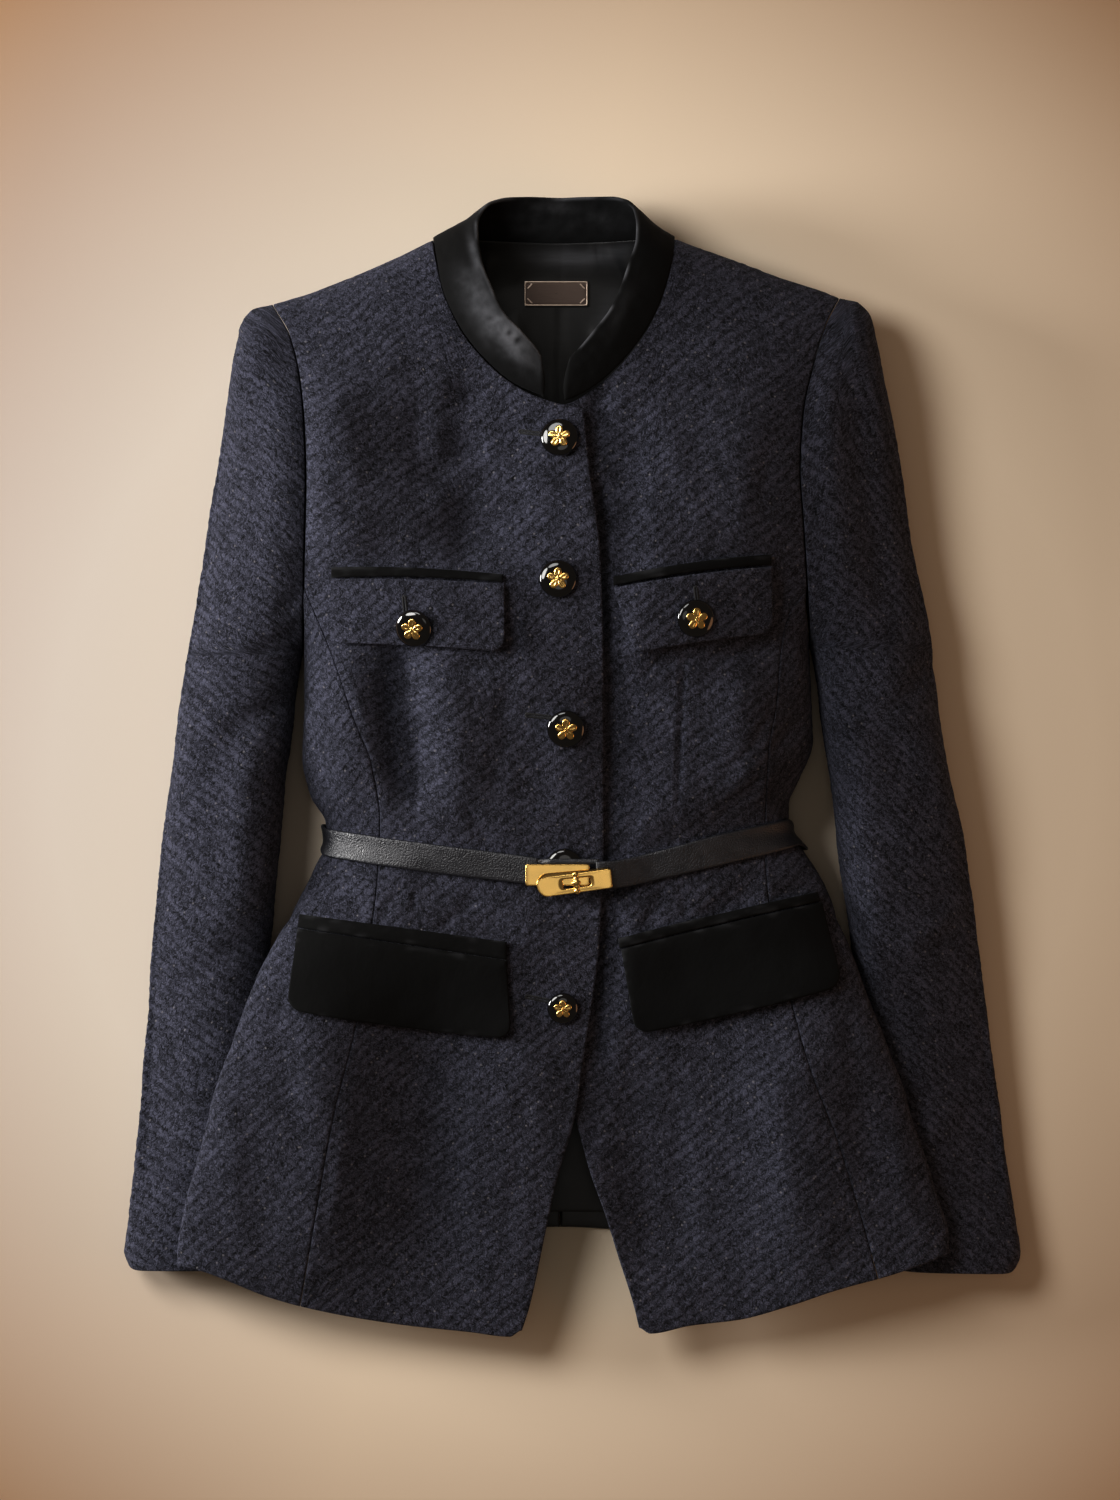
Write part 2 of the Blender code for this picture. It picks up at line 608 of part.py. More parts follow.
def add_wall(name, outer, normals, thick, look, inset=SEAM_INSET):
    """A cloth wall: the outer grid and the same grid moved in by the thickness."""
    outer = inset_edges(outer.copy(), inset)
    inner = outer - normals * thick
    points = np.concatenate([outer.reshape(-1, 3), inner.reshape(-1, 3)])
    rows, columns = outer.shape[:2]
    return add_object(name, points, wall_faces(rows, columns), look)


def height_grid(x, y, face):
    """(points, outward normals) of the torso's front (1) or back (-1) at a grid of (x, y)."""
    field = front_z if face > 0 else back_z

    def surface(a, b):
        return np.stack(np.broadcast_arrays(a, b, field(a, b)), axis=-1)

    normals = -face * surface_normals(surface, x, y)
    return surface(x, y), normals


# ---------------------------------------------------------------- body panels
TOP_STEPS = (0, 0.008, 0.035, 0.085, 0.16, 0.27, 0.42, 0.6, 0.8)
JOIN_LEVELS = (113, 89, 66)  # from where the side seams leave the armholes
LOWER_LEVELS = (44, 16, -12, -34, -46, -59, -74, -90, -112, -138, -168, -202, -240, -280)
PANEL_LEVELS = JOIN_LEVELS + LOWER_LEVELS
HEM_STEPS = (0.45, 1.0)
HEM_START = -328.0  # a first guess at the hem, made exact in a few rounds
HEM_ROUNDS = 5
UNDERLAP = TWEED + 1.2  # how far the right front lies below the left one
UNDERLAP_START = 3  # past the left front's edge
UNDERLAP_EASE = 22


def row_heights(top, levels, hem):
    """y for each row and column: down from the top edge, at set levels, then down to the hem."""
    rows = [top + (levels[0] - top) * t for t in TOP_STEPS]
    rows += [np.full_like(top, level) for level in levels]
    rows += [levels[-1] + (hem - levels[-1]) * t for t in HEM_STEPS]
    return np.array(rows)


def panel_grid(neck, shoulder_x, free_edge, arm, seam, levels, hem_table):
    """x and y of a panel between its free edge and its armhole and seam, with a column at each top point."""
    top_x = np.array([p.x for p in neck] + list(shoulder_x), float)
    top_y = np.array([p.y for p in neck] + [float(y_at(SHOULDER, x)) for x in shoulder_x])

    def far_edge(y):
        return np.where(y > seam[0].y, x_at(arm, y), x_at(seam, y))

    start = x_at(free_edge, top_y)
    share = (top_x - start) / (far_edge(top_y) - start)
    share[0] = 0
    share[-1] = 1
    hem_y = np.full_like(top_y, HEM_START)
    for _ in range(HEM_ROUNDS):
        hem_x = x_at(free_edge, hem_y) * (1 - share) + far_edge(hem_y) * share
        hem_y = y_at(hem_table, hem_x)
    y = row_heights(top_y, levels, hem_y)
    x = x_at(free_edge, y) * (1 - share) + far_edge(y) * share
    x[0] = top_x
    return x, y


def make_fronts():
    """The left front laps over the right one, which lies lower beside the closure."""
    for side, neck, shoulder_x, free_edge in (
        (LEFT, NECK_FRONT_LEFT, SHOULDER_X_LEFT, CLOSURE_LEFT),
        (RIGHT, NECK_FRONT_RIGHT, SHOULDER_X_RIGHT, CLOSURE_RIGHT),
    ):
        x, y = panel_grid(neck, shoulder_x, free_edge, side.arm, side.side_seam, PANEL_LEVELS, HEM_FRONT)
        points, normals = height_grid(x, y, 1)
        set_shoulder_row(points, normals, slice(len(neck), None))
        if side is RIGHT:
            past_edge = x - x_at(CLOSURE_LEFT, y)
            points[..., 2] -= UNDERLAP * (1 - ease((past_edge - UNDERLAP_START) / UNDERLAP_EASE))
        add_wall("front_" + side.name, points, normals, TWEED, "tweed")


def make_backs():
    centre = (At(345, CENTRE_BACK_X), At(-345, CENTRE_BACK_X))
    for side, neck, shoulder_x in (
        (LEFT, NECK_BACK_LEFT, SHOULDER_X_LEFT),
        (RIGHT, NECK_BACK_RIGHT, SHOULDER_X_RIGHT),
    ):
        x, y = panel_grid(neck, shoulder_x, centre, side.arm, side.back_seam, PANEL_LEVELS, HEM_BACK)
        points, normals = height_grid(x, y, -1)
        set_shoulder_row(points, normals, slice(len(neck), None))
        add_wall("back_" + side.name, points, normals, TWEED, "tweed")


SIDE_COLUMNS = 9


def make_side(side):
    """A side panel: from its seam on the front, round the edge of the body, to its seam on the back."""
    share = np.linspace(0, 1, SIDE_COLUMNS)
    edge_theta = math.pi if side is LEFT else 0
    turn = 1 if side is LEFT else -1
    top_y = side.underarm_y + (side.join_y - side.underarm_y) * (2 * share - 1) ** 2

    def spread_theta(y):
        front = torso_theta(x_at(side.side_seam, y), y)
        back = torso_theta(x_at(side.back_seam, y), y)
        front_turn = np.abs(edge_theta - front)
        back_turn = np.abs(edge_theta - back)
        return edge_theta + turn * (back_turn * share - front_turn * (1 - share))

    arm_turn = np.abs(edge_theta - torso_theta(x_at(side.arm, top_y), top_y))
    top_theta = edge_theta + turn * np.sign(share - 0.5) * arm_turn
    side_steps = [(JOIN_LEVELS[0] - level) / (JOIN_LEVELS[0] - LOWER_LEVELS[0]) for level in JOIN_LEVELS]
    rows = [top_y + (LOWER_LEVELS[0] - top_y) * t for t in side_steps]
    rows += [np.full_like(top_y, level) for level in LOWER_LEVELS]
    hem_y = np.full_like(share, HEM_START)
    for _ in range(HEM_ROUNDS):
        hem_x = torso_point(spread_theta(hem_y), hem_y)[..., 0]
        hem_y = np.where(share < 0.5, y_at(HEM_FRONT, hem_x), y_at(HEM_BACK, hem_x))
    rows += [LOWER_LEVELS[-1] + (hem_y - LOWER_LEVELS[-1]) * t for t in HEM_STEPS]
    y = np.array(rows)
    down = ease((top_y - y) / (top_y - LOWER_LEVELS[0]))
    down = 1 - (1 - down) * (1 - (2 * share - 1) ** 4)
    theta = top_theta * (1 - down) + spread_theta(y) * down
    points = torso_point(theta, y)
    normals = surface_normals(torso_point, theta, y)
    add_wall("side_" + side.name, points, normals, TWEED, "tweed")


# ---------------------------------------------------------------- sleeves
SLEEVE_LEVELS = (15, -20, -60, -100, -140, -180, -220, -260, -295)
TOP_SLEEVE_COLUMNS = 10
UNDER_SLEEVE_COLUMNS = 7


def sleeve_rows(side, top_y, hem_y):
    """y for each row and column, close together round the underarm."""
    rows = [top_y + (side.join_y - top_y) * t for t in TOP_STEPS]
    half_columns = SIDE_COLUMNS // 2
    rise = side.join_y - side.underarm_y
    near = [side.underarm_y + rise * (k / half_columns) ** 2 for k in range(half_columns, -1, -1)]
    near += [side.underarm_y - d for d in (4, 12, 28)]
    rows += [np.full_like(top_y, level) for level in (*near, *SLEEVE_LEVELS)]
    rows += [hem_y]
    return np.array(rows)


def make_sleeve(side):
    hem = SLEEVE_HEM_LEFT if side is LEFT else SLEEVE_HEM_RIGHT
    arm_top = side.arm[0]

    def surface(theta, y):
        return sleeve_point(side, theta, y)

    for name, columns in (("top_sleeve", TOP_SLEEVE_COLUMNS), ("under_sleeve", UNDER_SLEEVE_COLUMNS)):
        share = np.linspace(0, 1, columns)
        on_top = name == "top_sleeve"
        across = share if on_top else 1 - share
        top_x = arm_top.x + (side.sleeve_outer[0].x - arm_top.x) * across
        top_y = y_at(SHOULDER, top_x)
        hem_x = side.sleeve_inner[-1].x + (side.sleeve_outer[-1].x - side.sleeve_inner[-1].x) * across
        y = sleeve_rows(side, top_y, y_at(hem, hem_x))
        start = sleeve_start(side, y)
        under = sleeve_under(side, y)
        outer_seam = math.pi + OUTER_WRAP * ease((y[0] - y) / CAP_REACH)
        if on_top:
            first = start - under
            last = outer_seam
        else:
            first = outer_seam
            last = 2 * math.pi - start - under
        theta = first + (last - first) * share
        points = surface(theta, y)
        normals = side.toward_body * surface_normals(surface, theta, y)
        set_shoulder_row(points, normals, slice(None))
        add_wall(name + "_" + side.name, points, normals, TWEED, "tweed")


# ---------------------------------------------------------------- collar and lining
COLLAR_STEPS = (0, 0.35, 0.7, 1)
COLLAR_THICK = VELVET + 0.4


def make_collar():
    seam = []
    for r in COLLAR:
        field = front_z if r.face > 0 else back_z
        z = float(field(np.array(float(r.seam_x)), np.array(float(r.seam_y))))
        seam.append((r.seam_x, r.seam_y, z))
    seam = np.array(seam)
    free = np.array([(r.free_x, r.free_y, r.free_z) for r in COLLAR], float)
    middle = (seam + free) / 2
    along = np.gradient(middle, axis=0)
    normal = np.cross(along, free - seam)
    normal /= np.linalg.norm(normal, axis=-1, keepdims=True)
    rows = []
    for t in COLLAR_STEPS:
        bulge = COLLAR_BULGE * 4 * t * (1 - t)
        rows.append(seam + (free - seam) * t - normal * bulge)
    points = np.array(rows)
    outward = np.broadcast_to(-normal, points.shape)
    add_wall("collar", points, outward, COLLAR_THICK, "velvet", inset=0.05)


LINING_ROWS = (333, 322, 308, 292, 270, 240, 180, 110, 50, 0, -25, -38, -54, -68, -100, -160, -230, -287)
LINING_HALF = (
    At(333, 62), At(292, 78), At(240, 92), At(110, 104), At(0, 86), At(-45, 84), At(-160, 104), At(-287, 128)
)
LINING_COLUMNS = 9


def make_lining(ground):
    y = np.repeat(np.array(LINING_ROWS, float)[:, None], LINING_COLUMNS, axis=1)
    x = CENTRE_BACK_X + x_at(LINING_HALF, y) * np.linspace(-1, 1, LINING_COLUMNS)
    lay_wall("back_lining", np.stack([x, y], axis=-1), ground, SATIN, "satin")


LABEL_CENTRE = Point(-10.5, 304)
LABEL_SIZE = Point(41, 16)
LABEL_THICK = 1.2
LABEL_RIM = 1.2
LABEL_SUNK = 0.4
LABEL_LAY = 0.35
LABEL_SAMPLES = 7


def make_label(ground):
    """A small plate with a raised rim, on the lining."""
    half_x = LABEL_SIZE.x / 2
    half_y = LABEL_SIZE.y / 2
    corners = np.array([(-1, -1), (1, -1), (1, 1), (-1, 1)], float)
    steps = np.linspace(-1, 1, LABEL_SAMPLES)
    heights = [
        drop(ground, LABEL_CENTRE.x + a * half_x, LABEL_CENTRE.y + b * half_y) for a in steps for b in steps
    ]
    base = max(heights) + LABEL_LAY
    rings = (
        (0, 0),
        (0, LABEL_THICK),
        (LABEL_RIM, LABEL_THICK),
        (LABEL_RIM, LABEL_THICK - LABEL_SUNK),
    )
    points = []
    for inwards, height in rings:
        size = corners * (half_x - inwards, half_y - inwards)
        points += [(LABEL_CENTRE.x + a, LABEL_CENTRE.y + b, base + height) for a, b in size]
    faces = [(3, 2, 1, 0), (12, 13, 14, 15)]
    for ring in range(3):
        for k in range(4):
            a = 4 * ring + k
            b = 4 * ring + (k + 1) % 4
            faces.append((a, b, b + 4, a + 4))
    add_object("label", points, faces, "bronze")


# ---------------------------------------------------------------- what lies on the panels
SEAM_PAST = 0.6
DROP_FROM = 500


def ground_under(*names):
    """The surface of these cloth walls, to lay pieces on."""
    points = []
    faces = []
    for name in names:
        mesh = bpy.data.objects[name].data
        start = len(points)
        points += [v.co / MM for v in mesh.vertices]
        faces += [[start + k for k in p.vertices] for p in mesh.polygons]
    return BVHTree.FromPolygons(points, faces)


def drop(ground, x, y):
    """The height of the ground at (x, y), looking past the narrow seams between its pieces."""
    height = -1.0
    for shift in (-SEAM_PAST, SEAM_PAST):
        hit, _, _, _ = ground.ray_cast(Vector((x + shift, y + shift / 2, DROP_FROM)), Vector((0, 0, -1)))
        if hit is not None:
            height = max(height, hit.z)
    return height


def quad_samples():
    """Shares of a quad's four corners at points inside it, for both ways of splitting it."""
    steps = np.linspace(0, 1, 5)
    samples = set()
    for a in steps:
        for b in steps:
            low = min(a, b)
            samples.add((1 - max(a, b), b - low, a - low, low))
            if a + b <= 1:
                samples.add((1 - a - b, b, a, 0.0))
            else:
                samples.add((0.0, 1 - a, 1 - b, a + b - 1))
    return sorted(samples)


def lift_clear(under, ground, gap, rounds=3):
    """Raises a grid's points until it clears the ground by the gap, also between its points."""
    rows, columns = under.shape[:2]
    samples = quad_samples()
    for k in range(rounds + 1):
        least = 0 if k == rounds else 0.3
        raised = np.zeros((rows, columns))
        for i in range(rows - 1):
            for j in range(columns - 1):
                corners = [(i, j), (i, j + 1), (i + 1, j), (i + 1, j + 1)]
                for shares in samples:
                    at = sum(w * under[c] for w, c in zip(shares, corners))
                    short = drop(ground, at[0], at[1]) + gap - at[2]
                    for share, corner in zip(shares, corners):
                        if share >= least:
                            raised[corner] = max(raised[corner], short)
        under[..., 2] += raised
    return under


def lay_wall(name, grid, ground, thick, look):
    """A wall of even thickness laid on the ground, over a grid of (x, y)."""
    under = np.concatenate([grid, np.zeros((*grid.shape[:2], 1))], axis=-1)
    for point in under.reshape(-1, 3):
        point[2] = drop(ground, point[0], point[1]) + LAY
    under = lift_clear(under, ground, LAY)
    up = np.broadcast_to(np.array([0.0, 0.0, 1.0]), under.shape)
    return add_wall(name, under + up * thick, up, thick, look, inset=0.01)


def flap_shares(count, corner_share):
    """Shares along a flap, closer together at its ends where its corners are round."""
    middle = np.linspace(corner_share, 1 - corner_share, count)
    if not corner_share:
        return middle
    ends = np.array([0, 0.12, 0.42]) * corner_share
    return np.concatenate([ends, middle, 1 - ends[::-1]])


def make_flap(flap, ground, rows, columns):
    """A flap or welt: four corners with its lower corners rounded, laid on the panels."""
    top_left = np.array(flap.top_left)
    top_right = np.array(flap.top_right)
    bottom_left = np.array(flap.bottom_left)
    bottom_right = np.array(flap.bottom_right)
    length = np.linalg.norm(top_right - top_left)
    depth = np.linalg.norm(bottom_left - top_left)
    shares = flap_shares(columns, flap.corner / length)
    downs = np.linspace(0, 1, rows)
    grid = np.zeros((len(downs), len(shares), 2))
    for j, share in enumerate(shares):
        from_end = min(share, 1 - share) * length
        short = 0
        if flap.corner and from_end < flap.corner:
            short = flap.corner - math.sqrt(flap.corner**2 - (flap.corner - from_end) ** 2)
        bow = flap.bow * 4 * share * (1 - share)
        high = top_left + (top_right - top_left) * share + (0, bow)
        low = bottom_left + (bottom_right - bottom_left) * share + (0, bow)
        reach = 1 - short / depth
        for i, down in enumerate(downs):
            grid[i, j] = high + (low - high) * down * reach
    return lay_wall(flap.name, grid, ground, flap.thick, flap.material)


BUTTON_SIDES = 18
BUTTON_RINGS = ((0.0, 0.9), (0.28, 1.0), (0.55, 0.95), (0.85, 0.62))
MOTIF_PETALS = 5
MOTIF_RADIUS = 7.2
MOTIF_WAIST = 0.62
MOTIF_TAPER = 0.8
MOTIF_GAP = 0.25  # above the button's dome
MOTIF_SAG = 0.5  # how far the flower's rim bends down along the dome
BUTTON_LAY = 0.4  # above the cloth


def button_frame(button, ground):
    """The place and direction of a button's underside, just clear of the cloth below it."""
    around = []
    for k in range(16):
        angle = k * math.pi / 8
        x = button.x + button.radius * math.cos(angle)
        y = button.y + button.radius * math.sin(angle)
        around.append(Vector((x, y, drop(ground, x, y))))
    normal = sum(
        ((around[k] - around[k - 8]).cross(around[(k + 4) % 16] - around[k - 4]) for k in range(16)),
        Vector((0, 0, 0)),
    )
    normal.normalize()
    centre = Vector((button.x, button.y, drop(ground, button.x, button.y)))
    lift = max((p - centre).dot(normal) for p in around)
    turn = Vector((0, 0, 1)).rotation_difference(normal).to_matrix().to_4x4()
    return Matrix.Translation(centre + normal * (max(lift, 0) + BUTTON_LAY)) @ turn


def make_button(button, ground):
    frame = button_frame(button, ground)
    points = [Vector((0, 0, 0))]
    for height, share in BUTTON_RINGS:
        for k in range(BUTTON_SIDES):
            angle = 2 * math.pi * k / BUTTON_SIDES
            radius = button.radius * share
            z = BUTTON_THICK * height
            points.append(Vector((radius * math.cos(angle), radius * math.sin(angle), z)))
    points.append(Vector((0, 0, BUTTON_THICK)))
    last = len(points) - 1
    faces = []
    for k in range(BUTTON_SIDES):
        follow = (k + 1) % BUTTON_SIDES
        faces.append((0, 1 + follow, 1 + k))
        for ring in range(len(BUTTON_RINGS) - 1):
            low = 1 + ring * BUTTON_SIDES
            high = low + BUTTON_SIDES
            faces.append((low + k, low + follow, high + follow, high + k))
        faces.append((last - BUTTON_SIDES + k, last - BUTTON_SIDES + follow, last))
    add_object(button.name, points, faces, "gloss", frame)
    if button.motif:
        make_motif(button, frame)


def make_motif(button, frame):
    """A small five-petalled flower on the button's dome."""
    sides = 4 * MOTIF_PETALS
    size = MOTIF_RADIUS * button.radius / BUTTON_RADIUS
    outline = []
    for k in range(sides):
        angle = 2 * math.pi * k / sides + math.pi / 2
        wave = (1 + math.cos(MOTIF_PETALS * (angle - math.pi / 2))) / 2
        radius = size * (MOTIF_WAIST + (1 - MOTIF_WAIST) * wave)
        outline.append((radius * math.cos(angle), radius * math.sin(angle)))
    base = BUTTON_THICK + MOTIF_GAP
    points = [Vector((0, 0, base))]
    rim = base - MOTIF_SAG
    points += [Vector((x, y, rim)) for x, y in outline]
    points += [Vector((MOTIF_TAPER * x, MOTIF_TAPER * y, rim + MOTIF_THICK)) for x, y in outline]
    points.append(Vector((0, 0, base + MOTIF_TAPER * MOTIF_THICK)))
    last = len(points) - 1
    faces = []
    for k in range(sides):
        a = 1 + k
        b = 1 + (k + 1) % sides
        faces.append((0, b, a))
        faces.append((a, b, b + sides, a + sides))
        faces.append((a + sides, b + sides, last))
    add_object(button.name + "_motif", points, faces, "gold", frame)


# ---------------------------------------------------------------- belt
BELT_STEPS = 64
BELT_START = Point(-21, -67)
BELT_END = Point(15, -70)
BELT_LAY = 0.9
BELT_RISE = 40  # how far from the clasp the strap starts to climb to it
BELT_CROWDING = 0.22  # how far the strap's columns draw together at the side edges, in radians
BELT_CROWDING_REACH = 0.9
BELT_TURN_SINE = 0.25  # near the side edges the strap goes over to the back's line


def belt_theta_to_y(theta):
    """The belt's middle line: along the front's table, then level round the back."""
    y = np.full_like(theta, float(BELT_BACK_Y))
    for _ in range(3):
        x = torso_point(theta, y)[..., 0]
        front_y = y_at(BELT_FRONT, x)
        y = np.where(np.sin(theta) >= 0, front_y, BELT_BACK_Y)
        near_edge = ease(np.abs(np.sin(theta)) / BELT_TURN_SINE)
        y = y * near_edge + BELT_BACK_Y * (1 - near_edge)
    return y


def make_belt(ground, left_top, right_top):
    """The strap, from under the clasp's left end right round the jacket to under its right end."""
    start = float(torso_theta(np.array(float(BELT_START.x)), np.array(float(BELT_START.y))))
    end = float(torso_theta(np.array(float(BELT_END.x)), np.array(float(BELT_END.y)))) + 2 * math.pi
    theta = np.linspace(start, end, BELT_STEPS)
    for edge in (math.pi, 2 * math.pi):
        near = np.exp(-(((theta - edge) / BELT_CROWDING_REACH) ** 2))
        theta = theta - BELT_CROWDING * np.sin(2 * (theta - edge)) * near
    theta[0] = start
    theta[-1] = end
    y_mid = belt_theta_to_y(theta)
    rows = []
    norms = []
    for across in (-0.5, 0.5):
        y = y_mid + across * BELT_WIDTH
        point = torso_point(theta, y)
        rows.append(point)
        norms.append(surface_normals(torso_point, theta, y))
    normal = norms[0] + norms[1]
    normal /= np.linalg.norm(normal, axis=-1, keepdims=True)
    x = (rows[0][:, 0] + rows[1][:, 0]) / 2
    on_front = np.sin(theta) >= 0
    left_rise = ease((x - BELT_START.x + BELT_RISE) / BELT_RISE) * on_front * (theta < math.pi)
    right_rise = ease((BELT_END.x + BELT_RISE - x) / BELT_RISE) * on_front * (theta > math.pi)
    grid = np.array(rows) + normal * BELT_LAY
    up_front = normal[:, 2] > 0.3
    for i in range(BELT_STEPS - 1):
        if up_front[i] and up_front[i + 1]:
            grid[:, i : i + 2] = lift_clear(grid[:, i : i + 2], ground, LAY, rounds=0)
    grid += normal * BELT_THICK
    top_z = grid[..., 2].mean(axis=0)
    grid[..., 2] += (left_top - top_z) * left_rise + (right_top - top_z) * right_rise
    outward = np.broadcast_to(normal, grid.shape)
    return add_wall("belt_strap", grid, outward, BELT_THICK, "leather", inset=0.01)


# ---------------------------------------------------------------- clasp
def plate_outline(length, width, round_left, corner, steps=6):
    """Points round a plate, anticlockwise: a half-round left end, or small round corners."""
    half = width / 2
    points = []
    left_radius = half if round_left else corner
    for centre_x, centre_y, radius, first in (
        (length / 2 - corner, half - corner, corner, 0),
        (-length / 2 + left_radius, half - left_radius, left_radius, 90),
        (-length / 2 + left_radius, -half + left_radius, left_radius, 180),
        (length / 2 - corner, -half + corner, corner, 270),
    ):
        for k in range(steps + 1):
            angle = math.radians(first + 90 * k / steps)
            points.append((centre_x + radius * math.cos(angle), centre_y + radius * math.sin(angle)))
    kept = [points[0]]
    for point in points[1:]:
        if math.dist(point, kept[-1]) > 0.05 and math.dist(point, kept[0]) > 0.05:
            kept.append(point)
    return kept


def add_prism(name, outline, low, high, frame, look, bevel=0.0):
    """A plate with the given outline, its top edge bevelled by an inner ring."""
    shrink = 1 - bevel / max(abs(y) for _, y in outline)
    points = [Vector((x, y, low)) for x, y in outline]
    points += [Vector((x, y, high - bevel)) for x, y in outline]
    count = len(outline)
    faces = [tuple(reversed(range(count)))]
    for k in range(count):
        follow = (k + 1) % count
        faces.append((k, follow, count + follow, count + k))
    if bevel:
        reach = max(abs(x) for x, _ in outline)
        narrow = 1 - bevel / reach
        points += [Vector((narrow * x, shrink * y, high)) for x, y in outline]
        for k in range(count):
            follow = (k + 1) % count
            faces.append((count + k, count + follow, 2 * count + follow, 2 * count + k))
        faces.append(tuple(range(2 * count, 3 * count)))
    else:
        faces.append(tuple(range(count, 2 * count)))
    return add_object(name, points, faces, look, frame)


def apply_boolean(target, cutter, operation):
    """Cuts or joins with another object, and removes it."""
    change = target.modifiers.new(operation.lower(), "BOOLEAN")
    change.operation = operation
    change.object = cutter
    bpy.context.view_layer.update()
    graph = bpy.context.evaluated_depsgraph_get()
    mesh = bpy.data.meshes.new_from_object(target.evaluated_get(graph))
    target.modifiers.clear()
    target.data = mesh
    bpy.data.objects.remove(cutter)


def make_clasp(floor_z):
    """The base plate, the slotted plate over it, and the toggle that turns above the slot."""
    flat = Matrix.Translation(Vector((CLASP_X, CLASP_Y, floor_z)))
    turned = flat @ Matrix.Rotation(CLASP_TURN, 4, "Z")
    base_frame = flat @ Matrix.Translation(Vector((*BASE_OFFSET, 0)))
    base_outline = plate_outline(BASE_LENGTH, BASE_WIDTH, False, 1.2, steps=3)
    add_prism("clasp_base", base_outline, 0, PLATE_THICK, base_frame, "gold", bevel=PLATE_BEVEL)
    low = PLATE_THICK + RUNNING_GAP
    high = low + PLATE_THICK
    plate_frame = turned @ Matrix.Translation(Vector((*PLATE_OFFSET, 0)))
    outline = plate_outline(PLATE_LENGTH, PLATE_WIDTH, True, 1.5)
    plate = add_prism("clasp_plate", outline, low, high, plate_frame, "gold", bevel=PLATE_BEVEL)
    slot = add_prism(
        "slot_cutter",
        plate_outline(SLOT_LENGTH, SLOT_WIDTH, False, 1.5, steps=3),
        low - 1,
        high + 1,
        turned @ Matrix.Translation(Vector((*SLOT_OFFSET, 0))),
        "gold",
    )
    apply_boolean(plate, slot, "DIFFERENCE")
    toggle_frame = turned @ Matrix.Translation(Vector((*TOGGLE_OFFSET, 0)))
    bar_low = high + RUNNING_GAP
    post = plate_outline(2 * POST_RADIUS, 2 * POST_RADIUS, True, POST_RADIUS * 0.99, steps=4)
    bar = plate_outline(TOGGLE_WIDTH, TOGGLE_LENGTH, False, TOGGLE_WIDTH * 0.49, steps=4)
    bar_high = bar_low + TOGGLE_THICK
    toggle = add_prism("clasp_toggle", bar, bar_low, bar_high, toggle_frame, "gold", bevel=TOGGLE_BEVEL)
    stem = add_prism("toggle_post", post, low, bar_low + 1, toggle_frame, "gold")
    apply_boolean(toggle, stem, "UNION")


# ---------------------------------------------------------------- the whole jacket
def clear_scene():
    for item in list(bpy.data.objects):
        bpy.data.objects.remove(item, do_unlink=True)


def main():
    clear_scene()
    make_fronts()
    make_backs()
    for side in (LEFT, RIGHT):
        make_side(side)
        make_sleeve(side)
    make_collar()
    make_lining(ground_under("back_left", "back_right"))
    make_label(ground_under("back_lining"))
    body = ground_under("front_left", "front_right", "side_left", "side_right")
    for flap in FLAPS:
        make_flap(flap, body, rows=5, columns=7)
    for welt in WELTS:
        make_flap(welt, body, rows=2, columns=9)
    dressed = ground_under("front_left", "front_right", "chest_flap_left", "chest_flap_right")
    for button in BUTTONS:
        make_button(button, dressed)
    bpy.context.view_layer.update()
    hidden = bpy.data.objects["button_4"]
    clasp_floor = max((hidden.matrix_world @ v.co).z for v in hidden.data.vertices) / MM + RUNNING_GAP
    make_belt(body, clasp_floor - RUNNING_GAP - LAY, clasp_floor + PLATE_THICK)
    make_clasp(clasp_floor)


main()
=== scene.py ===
"""The looks of a belted tweed jacket that lies flat on its back.

X is the width, Y runs from the hem up to the collar, and Z is up. Tables and named sizes are in millimetres,
in the same frame as the solids, and the meshes are in metres.
"""

import json
import math
from collections import namedtuple

import bpy
import numpy as np
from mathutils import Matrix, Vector
from mathutils.bvhtree import BVHTree


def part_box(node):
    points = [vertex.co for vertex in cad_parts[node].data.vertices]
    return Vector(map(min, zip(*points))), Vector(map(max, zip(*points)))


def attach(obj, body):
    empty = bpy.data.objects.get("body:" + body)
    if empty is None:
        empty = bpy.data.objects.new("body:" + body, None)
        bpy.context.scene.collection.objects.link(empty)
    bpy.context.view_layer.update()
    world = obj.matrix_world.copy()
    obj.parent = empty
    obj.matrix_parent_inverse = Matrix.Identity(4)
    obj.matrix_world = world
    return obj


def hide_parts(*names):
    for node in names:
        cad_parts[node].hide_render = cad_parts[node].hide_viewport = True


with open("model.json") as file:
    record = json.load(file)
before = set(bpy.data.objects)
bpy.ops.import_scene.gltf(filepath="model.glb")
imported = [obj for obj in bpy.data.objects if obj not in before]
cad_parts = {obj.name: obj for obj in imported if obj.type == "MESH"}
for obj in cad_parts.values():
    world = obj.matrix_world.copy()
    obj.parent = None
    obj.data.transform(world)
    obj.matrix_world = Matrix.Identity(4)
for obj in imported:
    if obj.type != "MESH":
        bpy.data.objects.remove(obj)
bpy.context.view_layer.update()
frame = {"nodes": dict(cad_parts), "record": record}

MM = 0.001
UP = np.array([0.0, 0.0, 1.0])
TINY = 1e-9  # keeps a division from failing

